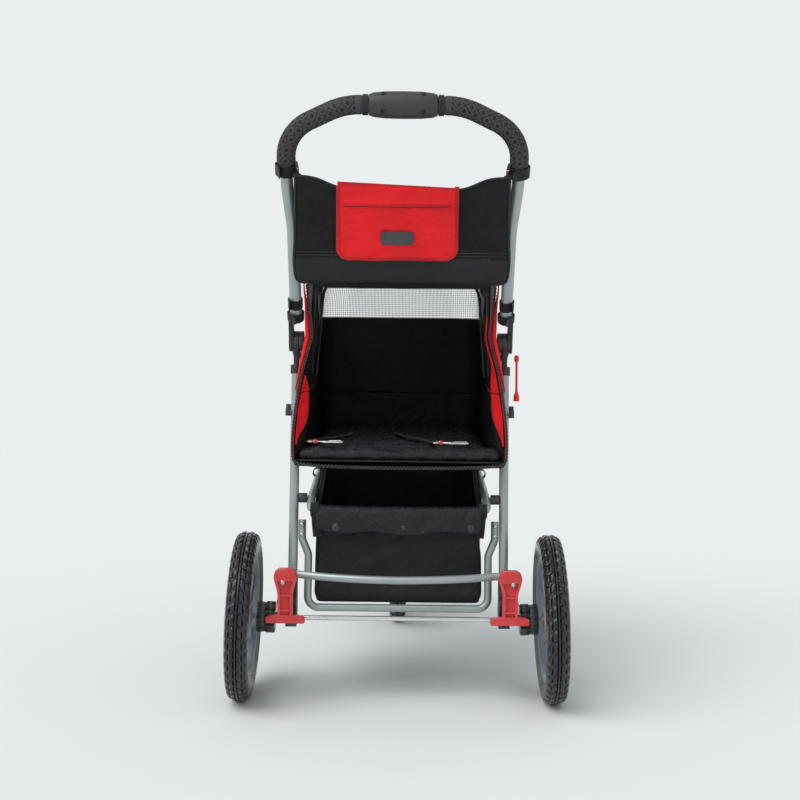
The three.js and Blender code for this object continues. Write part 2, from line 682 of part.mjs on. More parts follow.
// Plate bracket at the foot of each leg: it carries the axle, ends in two tips below it,
// and has a pin for the brake pedal on its outer face.
function addAxleBrackets() {
  const low = 183;
  const high = 203;
  const body = sidePlate(outline([
    [-14, 137], [-5, 137], [-4, 143], [6, 143], [7, 137], [16, 137],
    [19, 164], [29, 180], [34.5, 184], [34.5, 192], [14, 196], [4, 223], [-20, 223], [-19, 165],
  ]), low, high);
  const axleZ = REAR_WHEEL_RADIUS - (REAR_WHEEL_X - FRAME_HALF_WIDTH - 22) * Math.tan(radians(CAMBER));
  const bore = straightBar([low - 5, 0, axleZ], [high + 5, 0, axleZ], AXLE_RADIUS + 2 * FIT_GAP);
  const pin = straightBar([high - 2, ...BRAKE_PIVOT], [high + 14, ...BRAKE_PIVOT], 3, 12);
  addPair('axle_bracket', join(cut(body, bore), pin), BLACK_PLASTIC);
}

// ---------------------------------------------------------------- brake

function addBrake() {
  const [pivotY, pivotZ] = BRAKE_PIVOT;
  const headZ = 249;
  const footZ = 150;
  const shape = new THREE.Shape();
  shape.moveTo(-35, footZ + 2);
  shape.lineTo(-33, footZ);
  shape.lineTo(33, footZ);
  shape.lineTo(35, footZ + 2);
  shape.lineTo(35, footZ + 13);
  shape.quadraticCurveTo(16, footZ + 15, 13, footZ + 32);
  shape.quadraticCurveTo(12, footZ + 52, 19.5, footZ + 74);
  shape.lineTo(19.5, headZ - 6);
  shape.quadraticCurveTo(0, headZ + 4, -19.5, headZ - 6);
  shape.lineTo(-19.5, footZ + 74);
  shape.quadraticCurveTo(-12, footZ + 52, -13, footZ + 32);
  shape.quadraticCurveTo(-16, footZ + 15, -35, footZ + 13);
  // Three pockets in the rear face leave two cross ribs between raised side walls.
  const pocket = (low, high, halfLow, halfHigh) => rearPlate(
    outline([[-halfLow, low], [halfLow, low], [halfHigh, high], [-halfHigh, high]]),
    PEDAL_FRONT + 5, PEDAL_FRONT + 20);
  const plate = cut(
    rearPlate(shape, PEDAL_FRONT, PEDAL_FRONT + 12, 4),
    pocket(footZ + 5, footZ + 21, 9.5, 9.5),
    pocket(footZ + 24, footZ + 49, 9.5, 9),
    pocket(footZ + 52, footZ + 68, 9.5, 13),
  ).translate(PEDAL_X, 0, 0);
  const lugLow = 204.5;
  const lugHigh = 214;
  const lug = join(
    straightBar([lugLow, pivotY, pivotZ], [lugHigh, pivotY, pivotZ], 6.5),
    box([lugLow, pivotY, pivotZ - 5], [lugHigh, PEDAL_FRONT + 2, pivotZ + 5]),
  );
  const pinHole = straightBar([lugLow - 9, pivotY, pivotZ], [lugHigh + 9, pivotY, pivotZ], 3.6);
  addPair('brake_pedal', cut(join(plate, lug), pinHole), RED_PLASTIC);

  // Foot bar bowed to the rear, its ends held in front of the pedals.
  const barZ = 235;
  const endY = PEDAL_FRONT - 8.5;
  const bow = new THREE.CubicBezierCurve3(
    new THREE.Vector3(174, endY, barZ),
    new THREE.Vector3(140, endY + 24, barZ - 2),
    new THREE.Vector3(80, endY + 30, barZ - 3),
    new THREE.Vector3(0, endY + 30, barZ - 3),
  );
  const left = curvedPath(bow, 8).stations;
  const right = left.slice(0, -1).reverse().map(({ point, tangent }) => ({
    point: new THREE.Vector3(-point.x, point.y, point.z),
    tangent: new THREE.Vector3(tangent.x, -tangent.y, -tangent.z),
  }));
  const end = (sign) => ({
    point: new THREE.Vector3(sign * 207, endY, barZ),
    tangent: new THREE.Vector3(-1, 0, 0),
  });
  add('brake_bar', bar(new BentPath([end(1), ...left, ...right, end(-1)]), BRACE_RADIUS), FRAME_PAINT);
}

// ---------------------------------------------------------------- cabin

// Side outline of the cabin, as an [y, z] shape. The hollow (inset above 0) runs out through the rear.
function cabinSide(inset) {
  const rear = inset > 0 ? 60 : 0;
  const front = CABIN_FRONT + inset;
  const shape = new THREE.Shape();
  shape.moveTo(front, CABIN_FLOOR + inset);
  shape.lineTo(MOUTH_REAR + rear, CABIN_FLOOR + inset);
  shape.lineTo(MOUTH_REAR - 16 + rear, TUB_TOP);
  shape.lineTo(-62 + rear, 745);
  shape.lineTo(-95 + rear, 775);
  shape.lineTo(-95 + rear, HOOD_TOP + 10);
  shape.lineTo(-300, HOOD_TOP + 10);
  shape.bezierCurveTo(-430, HOOD_TOP - inset, -490 + inset, 860, front, 700);
  return shape;
}

// Rear outline of the cabin ahead of the legs: straight sides under an arch.
function cabinArch(inset) {
  const half = CABIN_HALF_WIDTH - inset;
  const spring = 770;
  const shape = new THREE.Shape();
  shape.moveTo(-half, CABIN_FLOOR + inset);
  shape.lineTo(half, CABIN_FLOOR + inset);
  shape.lineTo(half, spring);
  shape.bezierCurveTo(half, 880, half - 60, HOOD_TOP - inset, 0, HOOD_TOP - inset);
  shape.bezierCurveTo(-half + 60, HOOD_TOP - inset, -half, 880, -half, spring);
  return shape;
}

// Rear outline of the wider mouth behind the legs.
function cabinMouth(inset) {
  const right = MOUTH.map(([half, z], i) => [half - inset, i === 0 ? z + inset : z]);
  const left = right.map(([x, z]) => [-x, z]).reverse();
  return outline([...right, ...left]);
}

// Plan outline of the cabin ahead of the legs: square at the rear, rounded at the front.
function cabinPlan(inset) {
  const half = CABIN_HALF_WIDTH - inset;
  const corner = 60 - inset;
  return roundedRectangle(-half, CABIN_FRONT + inset, half, 100, [corner, corner, 0, 0]);
}

// The cabin's whole form, or its hollow.
function cabinForm(inset) {
  const rear = inset > 0 ? 60 : 0;
  const body = intersect(
    rearPlate(cabinArch(inset), CABIN_FRONT - 10, MOUTH_FRONT + 2 + rear),
    flatPlate(cabinPlan(inset), CABIN_FLOOR - 10, HOOD_TOP + 20),
  );
  const mouth = rearPlate(cabinMouth(inset), MOUTH_FRONT + inset, MOUTH_REAR + rear);
  return intersect(join(body, mouth), sidePlate(cabinSide(inset), -210, 210));
}

function addCabin() {
  const board = roundedRectangle(-160, CABIN_FRONT + 15, 160, MOUTH_REAR - 45, [50, 50, 8, 8]);
  add('floor_board', flatPlate(board, CABIN_FLOOR - 6, CABIN_FLOOR - FIT_GAP, 4), BLACK_PLASTIC);

  // The cloth shell is one sewn form: a tub up to the zip line, and the hood above it.
  const shell = cut(cabinForm(0), cabinForm(CLOTH));
  const below = box([-220, -600, 400], [220, 100, TUB_TOP]);
  const above = box([-220, -600, TUB_TOP + 0.5], [220, 100, 1000]);
  add('cabin_tub', intersect(shell, below), BLACK_CLOTH);
  add('cabin_hood', intersect(shell, above), BLACK_CLOTH);

  const cushion = join(
    flatPlate(roundedRectangle(-168, CABIN_FRONT + 12, 168, MOUTH_REAR - 4, [52, 52, 0, 0]), 0, 1, 4),
    flatPlate(roundedRectangle(-187, MOUTH_FRONT + 8, 187, MOUTH_REAR - 4, [4, 4, 14, 14]), 0, 1, 4),
  );
  const cushionLow = CABIN_FLOOR + CLOTH + FIT_GAP;
  const cushionHigh = CABIN_FLOOR + 38;
  add('seat_cushion', cushion.scale(1, 1, cushionHigh - cushionLow).translate(0, 0, cushionLow), BLACK_CLOTH);

  addBow('hood_bow_main', 166, BOW_PIVOT, [-195, 908]);
  addBow('hood_bow_front', 158.5, BOW_PIVOT, [-455, 800]);
}

// A wire bow from its pivot on one side of the cabin, over the top, to the pivot on the other side.
function addBow(name, halfWidth, pivot, crown) {
  const half = [[halfWidth, ...pivot], [halfWidth, ...crown]];
  const mirrored = half.map(([x, y, z]) => [-x, y, z]).reverse();
  add(name, bar(bentPath([...half, ...mirrored], 125), 3, 8), STEEL);
}

// Snap hook lying on the cushion: an eye, a swivel neck and a long open hook.
function addLeashClips() {
  const rest = CABIN_FLOOR + 43;
  const clipY = MOUTH_REAR - 22;
  const eye = (x) => {
    const loop = new THREE.TorusGeometry(6, 1.6, 6, 14).translate(x, clipY, rest);
    const neck = straightBar([x - 5, clipY, rest], [x - 14, clipY, rest], 2.6, 10);
    const hook = bar(bentPath([
      [x - 13, clipY, rest],
      [x - 22, clipY + 7, rest],
      [x - 42, clipY + 7, rest],
      [x - 42, clipY - 7, rest],
      [x - 25, clipY - 7, rest],
    ], [3, 6, 6]), 2.2, 8);
    return join(loop, neck, hook);
  };
  add('leash_clip_left', eye(162), STEEL);
  add('leash_clip_right', eye(-66), STEEL);
}

// ---------------------------------------------------------------- basket

// Open-topped cargo basket. Its front wall stands higher than its rear wall.
function addBasket() {
  const rearTop = 338;
  const frontTop = 415;
  const front = -285;
  const rear = 2;
  const side = (inset, lift) => outline([
    [front + inset, BASKET_FLOOR + inset + 14],
    [front + inset + 16, BASKET_FLOOR + inset],
    [rear - inset - 6, BASKET_FLOOR + inset],
    [rear - inset, BASKET_FLOOR + inset + 10],
    [rear - inset, rearTop + lift],
    [front + inset, frontTop + lift],
  ]);
  const across = (inset, lift) => outline([
    [-153 + inset, BASKET_FLOOR + inset + 14],
    [-140 + inset, BASKET_FLOOR + inset],
    [140 - inset, BASKET_FLOOR + inset],
    [153 - inset, BASKET_FLOOR + inset + 14],
    [149 - inset, frontTop + lift + 10],
    [-149 + inset, frontTop + lift + 10],
  ]);
  const form = (inset, lift) => intersect(
    sidePlate(side(inset, lift), -160, 160), rearPlate(across(inset, lift), front - 10, rear + 10));
  add('basket', cut(form(0, 0), form(3, 40)), BLACK_CLOTH);
}

// ---------------------------------------------------------------- assembly

addRearWheels();
addRearAxle();
addFrontWheel();
addFork();
addFrontFrame();
addFrameKnuckles();

const handle = leaning(FOLD_JOINT, -HANDLE_LEAN);
addHandle(handle);
addConsole(handle);
addOrganiser(handle);

addLegs(leaning(FOLD_JOINT, 180 + LEG_LEAN));
addHoopSpacers();
addBrace();
addAxleBrackets();
addBrake();
addCabin();
addLeashClips();
addBasket();

// Centre the finished model over the origin, standing on the floor.
const bounds = new THREE.Box3().setFromObject(stroller, true);
stroller.position.set(0, -(bounds.min.y + bounds.max.y) / 2, -bounds.min.z);

export default stroller;
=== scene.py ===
"""Looks of the three-wheeled stroller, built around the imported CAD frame.

Lengths are millimetres in local frames (chassis, handle, leg, wheel), and one matrix for each frame turns
them into metres in the row frame. In the chassis frame the rear axle is over Y = 0 and the floor is Z = 0."""

import json
import math

import bmesh
import bpy
import numpy as np
from mathutils import Matrix, Vector, noise


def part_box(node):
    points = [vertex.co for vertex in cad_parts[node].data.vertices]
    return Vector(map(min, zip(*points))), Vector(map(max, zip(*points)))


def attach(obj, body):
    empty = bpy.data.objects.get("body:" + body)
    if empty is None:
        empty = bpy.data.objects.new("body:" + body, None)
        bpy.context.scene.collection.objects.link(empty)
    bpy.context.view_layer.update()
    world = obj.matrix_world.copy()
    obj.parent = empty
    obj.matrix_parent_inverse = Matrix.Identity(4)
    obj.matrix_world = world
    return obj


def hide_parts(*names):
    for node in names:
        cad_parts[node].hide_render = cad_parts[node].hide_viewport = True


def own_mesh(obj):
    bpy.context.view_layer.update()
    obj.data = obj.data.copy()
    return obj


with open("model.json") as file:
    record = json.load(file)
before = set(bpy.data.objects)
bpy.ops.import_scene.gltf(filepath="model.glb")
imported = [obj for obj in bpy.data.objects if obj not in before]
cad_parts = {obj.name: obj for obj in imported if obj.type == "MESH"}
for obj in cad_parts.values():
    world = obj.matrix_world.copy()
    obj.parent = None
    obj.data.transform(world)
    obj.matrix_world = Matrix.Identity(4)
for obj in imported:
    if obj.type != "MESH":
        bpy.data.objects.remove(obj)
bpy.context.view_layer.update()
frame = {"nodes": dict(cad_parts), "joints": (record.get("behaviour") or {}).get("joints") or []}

# ------------------------------------------------------------------ places, worked out from the frame

JOINTS = {joint["name"]: joint for joint in frame["joints"]}


def joint_place(name):
    return Vector(JOINTS[name]["pos_m"])


def centre(node):
    low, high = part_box(node)
    return (low + high) / 2


MM = Matrix.Scale(0.001, 4)
FOLD = joint_place("frame_fold")
AXLE_Y = joint_place("rear_spin_left").y
CHASSIS = Matrix.Translation((0, AXLE_Y, 0)) @ MM

ring_centre = centre("grip_ring_left")
HANDLE_LEAN = math.atan2(ring_centre.y - FOLD.y, ring_centre.z - FOLD.z)
HANDLE_TOP = math.hypot(ring_centre.y - FOLD.y, ring_centre.z - FOLD.z) * 1000
HANDLE = Matrix.Translation((0, FOLD.y, FOLD.z)) @ Matrix.Rotation(-HANDLE_LEAN, 4, "X") @ MM

leg_centre = centre("leg_left")
LEG_LEAN = math.atan2(leg_centre.y - FOLD.y, FOLD.z - leg_centre.z)
LEG = Matrix.Translation((0, FOLD.y, FOLD.z)) @ Matrix.Rotation(math.pi + LEG_LEAN, 4, "X") @ MM

FOLD_Y = (FOLD.y - AXLE_Y) * 1000       # fold joint in the chassis frame
FOLD_Z = FOLD.z * 1000
SIDES = (("left", 1), ("right", -1))


def leg_y(z):
    """Y of a rear leg's centreline at a height, in the chassis frame."""
    return FOLD_Y + (FOLD_Z - z) * math.tan(LEG_LEAN)


def wheel_place(joint):
    spin = JOINTS[joint]
    across = Vector(spin["axis"]).normalized()
    turn = Vector((1, 0, 0)).rotation_difference(across).to_matrix().to_4x4()
    return Matrix.Translation(spin["pos_m"]) @ turn @ MM


# ------------------------------------------------------------------ node materials

class Graph:
    """Short calls for wiring one material's nodes."""

    def __init__(self, name):
        self.material = bpy.data.materials.new(name)
        self.material.use_nodes = True
        self.tree = self.material.node_tree
        self.shader = self.tree.nodes["Principled BSDF"]
        self.where = self.add("ShaderNodeTexCoord").outputs["Object"]

    def add(self, kind, settings=(), **inputs):
        node = self.tree.nodes.new(kind)
        for key, value in settings:
            setattr(node, key, value)
        for key, value in inputs.items():
            socket = node.inputs[int(key[1:])] if key[0] == "_" else node.inputs[key]
            self.feed(socket, value)
        return node

    def feed(self, socket, value):
        if isinstance(value, bpy.types.NodeSocket):
            self.tree.links.new(value, socket)
        else:
            socket.default_value = value

    def math(self, operation, a, b=0.0):
        return self.add("ShaderNodeMath", [("operation", operation)], _0=a, _1=b).outputs[0]

    def noise(self, scale, detail=3.0, distortion=0.0, stretch=(1, 1, 1)):
        spot = self.add("ShaderNodeMapping", Vector=self.where, Scale=stretch).outputs[0]
        return self.add("ShaderNodeTexNoise", Vector=spot, Scale=scale, Detail=detail,
                        Distortion=distortion).outputs["Fac"]

    def span(self, value, low, high, to_low, to_high):
        """A value from low..high moved to to_low..to_high."""
        return self.add("ShaderNodeMapRange", _0=value, _1=low, _2=high, _3=to_low, _4=to_high).outputs[0]

    def mix(self, share, a, b):
        node = self.add("ShaderNodeMix", [("data_type", "RGBA")], _0=share)
        self.feed(node.inputs[6], a)
        self.feed(node.inputs[7], b)
        return node.outputs[2]

    def bump(self, height, strength, depth, under=None):
        node = self.add("ShaderNodeBump", Strength=strength, Distance=depth, Height=height)
        if under is not None:
            self.feed(node.inputs["Normal"], under)
        return node.outputs[0]

    def lattice(self, pitch):
        """A woven look on any side of a piece: crossing sine waves along the three axes."""
        axes = self.add("ShaderNodeSeparateXYZ", _0=self.where).outputs
        x, y, z = (self.math("SINE", self.math("MULTIPLY", axis, 2 * math.pi / pitch)) for axis in axes)
        xy, yz, zx = self.math("MULTIPLY", x, y), self.math("MULTIPLY", y, z), self.math("MULTIPLY", z, x)
        return self.math("ADD", xy, self.math("ADD", yz, zx))


def tint(color, share):
    return (*(min(1.0, channel * share) for channel in color), 1.0)


def base_look(name, color, rough, metal=0.0, spread=0.15, rough_spread=0.08, wear=0.0):
    """Colour and roughness that drift over the piece, with lighter rubbed edges."""
    graph = Graph(name)
    drift = graph.noise(14.0, 4.0)
    tone = graph.mix(graph.span(drift, 0.3, 0.7, 0, 1), tint(color, 1 - spread), tint(color, 1 + spread))
    if wear:
        edge = graph.add("ShaderNodeNewGeometry").outputs["Pointiness"]
        rubbed = graph.math("MULTIPLY", graph.span(edge, 0.52, 0.6, 0, wear), graph.noise(60, 4.0))
        tone = graph.mix(rubbed, tone, tint([0.5 * channel + 0.25 for channel in color], 1))
    graph.feed(graph.shader.inputs["Base Color"], tone)
    fine = graph.noise(84.0, 3.0)
    graph.feed(graph.shader.inputs["Roughness"],
               graph.span(fine, 0.3, 0.7, rough - rough_spread, rough + rough_spread))
    graph.shader.inputs["Metallic"].default_value = metal
    return graph


def moulded(name, color, rough, grain=0.12, coat=0.0):
    """Moulded plastic with a fine grain."""
    graph = base_look(name, color, rough, wear=0.35)
    fine = graph.bump(graph.noise(1400, 2.0), grain, 0.0004)
    graph.feed(graph.shader.inputs["Normal"], graph.bump(graph.noise(70, 2.0), 0.05, 0.001, fine))
    graph.shader.inputs["Coat Weight"].default_value = coat
    return graph.material


def plated(name, color, rough, metal=1.0, brushed=0.05):
    """Painted or plated metal: faint orange peel and long fine scratches."""
    graph = base_look(name, color, rough, metal, spread=0.05, rough_spread=0.05, wear=0.3)
    peel = graph.bump(graph.noise(420, 2.0), 0.05, 0.0004)
    scratch = graph.noise(90, 4.0, stretch=(14, 14, 1))
    graph.feed(graph.shader.inputs["Normal"], graph.bump(scratch, brushed, 0.0003, peel))
    return graph.material


def woven(name, color, rough, pitch, weave=0.3, crease=0.3, crease_scale=26.0, sheen=0.3, spread=0.25,
          coat=0.0):
    """Cloth: threads, soft creases, and a sheen at grazing angles."""
    graph = base_look(name, color, rough, spread=spread, rough_spread=0.1)
    creased = graph.bump(graph.noise(crease_scale, 5.0, 1.2), crease, 0.006)
    small = graph.bump(graph.noise(crease_scale * 5, 4.0, 0.8), crease * 0.6, 0.0015, creased)
    graph.feed(graph.shader.inputs["Normal"], graph.bump(graph.lattice(pitch), weave, 0.0004, small))
    graph.shader.inputs["Specular IOR Level"].default_value = 0.25
    graph.shader.inputs["Sheen Weight"].default_value = sheen
    graph.shader.inputs["Sheen Roughness"].default_value = 0.4
    graph.shader.inputs["Sheen Tint"].default_value = tint(color, 6)
    graph.shader.inputs["Coat Weight"].default_value = coat
    graph.shader.inputs["Coat Roughness"].default_value = 0.35
    return graph.material


def ribbed(name, color, rough, pitch, axis=2):
    """Webbing: threads with cross ribs."""
    graph = base_look(name, color, rough, spread=0.3)
    along = graph.add("ShaderNodeSeparateXYZ", _0=graph.where).outputs[axis]
    rib = graph.math("SINE", graph.math("MULTIPLY", along, 2 * math.pi / pitch))
    graph.feed(graph.shader.inputs["Normal"],
               graph.bump(graph.lattice(pitch * 0.6), 0.25, 0.0004, graph.bump(rib, 0.4, 0.0006)))
    graph.shader.inputs["Specular IOR Level"].default_value = 0.25
    graph.shader.inputs["Sheen Weight"].default_value = 0.08
    return graph.material


PAINT = plated("tube_paint", (0.37, 0.415, 0.415), 0.36, metal=0.55)
CHROME = plated("bright_chrome", (0.78, 0.78, 0.78), 0.12, brushed=0.12)
STEEL = plated("nickel_steel", (0.62, 0.62, 0.61), 0.24, brushed=0.15)
RECESS_SHADE = base_look("screw_socket", (0.0015, 0.0015, 0.0015), 0.8).material        # painted shade: near-black so the screw heads and their rings read as sunk in recesses; sunk, so no rubbed edges
BLACK = moulded("black_moulding", (0.012, 0.0125, 0.013), 0.42)
GLOSS = moulded("gloss_black", (0.01, 0.0105, 0.011), 0.24, grain=0.05, coat=0.3)
CHARCOAL = moulded("charcoal_moulding", (0.04, 0.041, 0.042), 0.5, grain=0.3)
RED = moulded("red_moulding", (0.70, 0.013, 0.018), 0.4, grain=0.15, coat=0.15)
GREY = moulded("rim_moulding", (0.25, 0.30, 0.34), 0.42, grain=0.15)
RUBBER = moulded("grip_rubber", (0.046, 0.047, 0.048), 0.72, grain=0.5)
# painted shade: darker rubber for the faces down in the grip's grooves and rings
RUBBER_GROOVE_SHADE = base_look("grip_groove_painted_shade", (0.009, 0.009, 0.01), 0.7).material
TYRE = moulded("tyre_rubber", (0.008, 0.0083, 0.009), 0.27, grain=0.2, coat=0.2)
NYLON = woven("black_nylon", (0.0085, 0.0085, 0.0095), 0.42, 0.0016, crease=0.9, sheen=0.06)
CRINKLE = woven("crinkled_nylon", (0.009, 0.009, 0.0105), 0.3, 0.0014, crease=1.0, crease_scale=30,
                sheen=0.05, coat=0.15)
NEOPRENE = woven("black_neoprene", (0.008, 0.008, 0.0085), 0.66, 0.0012, weave=0.2, crease=0.15, sheen=0.05)
NEOPRENE_LOW = woven("smooth_neoprene", (0.016, 0.0168, 0.0185), 0.48, 0.0012, weave=0.1, crease=0.08,
                     sheen=0.2)
RED_NYLON = woven("red_nylon", (0.84, 0.012, 0.018), 0.55, 0.0017, crease=0.55, sheen=0.08, spread=0.1)
RED_TRIM = ribbed("red_binding", (0.60, 0.010, 0.016), 0.6, 0.002, axis=0)
WEBBING = ribbed("black_webbing", (0.012, 0.012, 0.013), 0.55, 0.0024)
PIPING = woven("black_piping", (0.02, 0.02, 0.021), 0.45, 0.002, weave=0.5, crease=0.0, sheen=0.1)
THREAD = woven("grey_thread", (0.11, 0.10, 0.09), 0.6, 0.001, weave=0.5, crease=0.0, sheen=0.1)
NETTING = woven("black_netting", (0.06, 0.058, 0.057), 0.6, 0.001, weave=0.2, crease=0.0, sheen=0.0)


# ------------------------------------------------------------------ mesh building

def piece(name, verts, faces, place, look, body, stands_for=(), crease_angle=38, face_looks=None, slot=None):
    """A mesh of local millimetre points, put in place, shaded smooth, and tied to its body.

    look is a material, or a list of them that face_looks picks from."""
    looks = look if isinstance(look, list) else [look]
    mesh = bpy.data.meshes.new(name)
    mesh.from_pydata([place @ Vector(v) for v in verts], [], [tuple(int(i) for i in f) for f in faces])
    for material in looks:
        mesh.materials.append(material)
    if face_looks is not None:
        mesh.polygons.foreach_set("material_index", np.asarray(face_looks, dtype=np.int32))
    tidy = bmesh.new()
    tidy.from_mesh(mesh)
    bmesh.ops.recalc_face_normals(tidy, faces=tidy.faces)
    tidy.to_mesh(mesh)
    tidy.free()
    mesh.shade_smooth()
    mesh.set_sharp_from_angle(angle=math.radians(crease_angle))
    obj = bpy.data.objects.new(name, mesh)
    bpy.context.scene.collection.objects.link(obj)
    if body:
        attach(obj, body)
    if stands_for:
        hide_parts(*stands_for)
    return obj


def merged(parts):
    """Several (verts, faces) as one."""
    verts, faces = [], []
    for part_verts, part_faces in parts:
        start = len(verts)
        verts.extend(tuple(v) for v in part_verts)
        faces.extend(tuple(i + start for i in f) for f in part_faces)
    return verts, faces


def moved(part, matrix):
    return [tuple(matrix @ Vector(v)) for v in part[0]], part[1]


def mirrored(part):
    return [(-x, y, z) for x, y, z in part[0]], [tuple(reversed(f)) for f in part[1]]


def sided(part, sign):
    """A part drawn for the left side, mirrored for the right."""
    return part if sign > 0 else mirrored(part)


def both_sides(half):
    """Points from the left end to the middle, continued to the right end."""
    return half + [(-x, y, z) for x, y, z in reversed(half)]


def circle(count):
    """Evenly spaced angles round a circle."""
    return np.linspace(0, 2 * math.pi, count + 1)[:-1]


def grid_faces(lines, width):
    """Quads between neighbouring lines of a grid of points."""
    return [(a, a + 1, a + 1 + width, a + width)
            for line in range(lines - 1) for a in range(line * width, (line + 1) * width - 1)]


def filleted(corners, bends, step=math.radians(7)):
    """Corner points with a bend radius at each inner corner, as a smooth list of points."""
    points = [Vector(c) for c in corners]
    path = [points[0]]
    bends = bends if hasattr(bends, "__len__") else [bends] * (len(points) - 2)
    for before, here, after, radius in zip(points, points[1:], points[2:], bends):
        incoming, outgoing = (here - before).normalized(), (after - here).normalized()
        turn = incoming.angle(outgoing)
        side = (outgoing - incoming * math.cos(turn)).normalized()
        start = here - incoming * radius * math.tan(turn / 2)
        count = max(1, math.ceil(turn / step))
        for i in range(count + 1):
            angle = turn * i / count
            path.append(start + incoming * radius * math.sin(angle) + side * radius * (1 - math.cos(angle)))
    path.append(points[-1])
    return path


def even_steps(path, spacing):
    """The path with points at even steps along it."""
    spots = np.array([tuple(p) for p in path])
    run = np.concatenate([[0], np.cumsum(np.linalg.norm(np.diff(spots, axis=0), axis=1))])
    count = max(2, int(round(run[-1] / spacing)) + 1)
    want = np.linspace(0, run[-1], count)
    return [Vector([np.interp(w, run, spots[:, k]) for k in range(3)]) for w in want]


def path_frames(path, first_side=None, closed=False):
    """Tangent, side and up directions along a path, turned as little as possible."""
    count = len(path)
    tangents = []
    for i in range(count):
        before = path[(i - 1) % count] if closed or i else path[0]
        after = path[(i + 1) % count] if closed or i < count - 1 else path[-1]
        tangents.append((after - before).normalized())
    side = Vector(first_side) if first_side else tangents[0].orthogonal()
    frames = []
    for tangent in tangents:
        side = (side - tangent * side.dot(tangent)).normalized()
        frames.append((tangent, side, tangent.cross(side)))
    return frames


def sweep(path, section, first_side=None, closed=False, caps=True):
    """A section swept along a path. section(i, share) gives the [side, up] points at step i."""
    frames = path_frames(path, first_side, closed)
    verts, faces = [], []
    width = 0
    for i, (spot, (_, side, up)) in enumerate(zip(path, frames)):
        ring = section(i, i / (len(path) - 1))
        width = len(ring)
        verts.extend(tuple(spot + side * a + up * b) for a, b in ring)
    rings = len(path)
    for i in range(rings if closed else rings - 1):
        a, b = i * width, ((i + 1) % rings) * width
        for k in range(width):
            n = (k + 1) % width
            faces.append((a + k, a + n, b + n, b + k))
    if caps and not closed:
        faces.append(tuple(reversed(range(width))))
        faces.append(tuple(range((rings - 1) * width, rings * width)))
    return verts, faces


def round_section(radius, sides=24):
    ring = [(math.cos(2 * math.pi * k / sides), math.sin(2 * math.pi * k / sides)) for k in range(sides)]
    return lambda i, share: [(radius * a, radius * b) for a, b in ring]


def rod(corners, radius, bends=0, sides=24):
    """A round bar with softly rounded ends."""
    path = filleted(corners, bends) if len(corners) > 2 else [Vector(c) for c in corners]
    soft = min(1.2, radius * 0.3)
    first, last = (path[1] - path[0]).normalized(), (path[-1] - path[-2]).normalized()
    path = [path[0], path[0] + first * soft, *path[1:-1], path[-1] - last * soft, path[-1]]
    ring = round_section(1, sides)(0, 0)
    ends = (0, len(path) - 1)
    return sweep(path, lambda i, s: [((radius - soft if i in ends else radius) * a,
                                      (radius - soft if i in ends else radius) * b) for a, b in ring])


def flat_section(width, thick):
    """A flat strap's section with rounded edges: width along side, thickness along up."""
    w, t = width / 2, thick / 2
    c = t * 0.7
    ring = [(-w + c, -t), (w - c, -t), (w, -t + c), (w, t - c), (w - c, t), (-w + c, t), (-w, t - c),
            (-w, -t + c)]
    return lambda i, share: ring


def strap(path, width, thick, first_side):
    return sweep([Vector(p) for p in path], flat_section(width, thick), first_side)


def lathe(profile, segments=64, stretch=None):
    """A profile of [x, radius] points turned about X. stretch(angle, x, radius) gives a changed radius."""
    verts, faces = [], []
    rows = len(profile)
    for k in range(segments):
        angle = 2 * math.pi * k / segments
        for x, radius in profile:
            r = stretch(angle, x, radius) if stretch else radius
            verts.append((x, r * math.cos(angle), r * math.sin(angle)))
    for k in range(segments):
        a, b = k * rows, ((k + 1) % segments) * rows
        for i in range(rows - 1):
            faces.append((a + i, a + i + 1, b + i + 1, b + i))
    closed = profile[0] == profile[-1]
    if closed:
        return weld(verts, faces)
    for end in (0, rows - 1):
        if profile[end][1] > 1e-6:
            faces.append(tuple(k * rows + end for k in range(segments)))
    return weld(verts, faces)


def weld(verts, faces):
    """Merges points that share a place and drops faces that collapse."""
    keys, index, remap = {}, [], []
    for v in verts:
        key = tuple(round(c / 1e-4) for c in v)
        if key not in keys:
            keys[key] = len(index)
            index.append(v)
        remap.append(keys[key])
    kept = []
    for f in faces:
        loop = [remap[i] for i in f]
        loop = [v for i, v in enumerate(loop) if v != loop[i - 1]]
        if len(loop) >= 3:
            kept.append(tuple(loop))
    return index, kept


def rounded_profile(points, radius, steps=4):
    """A 2-D polyline with its inner corners rounded."""
    path = filleted([(a, b, 0) for a, b in points], radius, math.radians(90 / steps))
    return [(p.x, p.y) for p in path]


def plate(outline, low, high, bevel=1.0, axes="yz"):
    """A flat plate with chamfered edges: its outline in the named plane, low to high across it."""
    count = len(outline)
    area = sum(outline[i - 1][0] * outline[i][1] - outline[i][0] * outline[i - 1][1] for i in range(count))
    if area < 0:
        outline = outline[::-1]

    def drawn_in(i):
        (pa, pb), (a, b), (na, nb) = outline[i - 1], outline[i], outline[(i + 1) % count]
        run_a, run_b = na - pa, nb - pb
        size = math.hypot(run_a, run_b) or 1
        return a - bevel * run_b / size, b + bevel * run_a / size

    inner = [drawn_in(i) for i in range(count)]
    order = {"yz": (1, 2, 0), "xz": (0, 2, 1), "xy": (0, 1, 2)}[axes]
    verts, faces = [], []
    for ring, depth in ((inner, low), (outline, low + bevel), (outline, high - bevel), (inner, high)):
        for a, b in ring:
            spot = [0, 0, 0]
            spot[order[0]], spot[order[1]], spot[order[2]] = a, b, depth
            verts.append(tuple(spot))
    for k in range(3):
        for i in range(count):
            j = (i + 1) % count
            faces.append((k * count + i, k * count + j, (k + 1) * count + j, (k + 1) * count + i))
    faces.append(tuple(reversed(range(count))))
    faces.append(tuple(range(3 * count, 4 * count)))
    return verts, faces


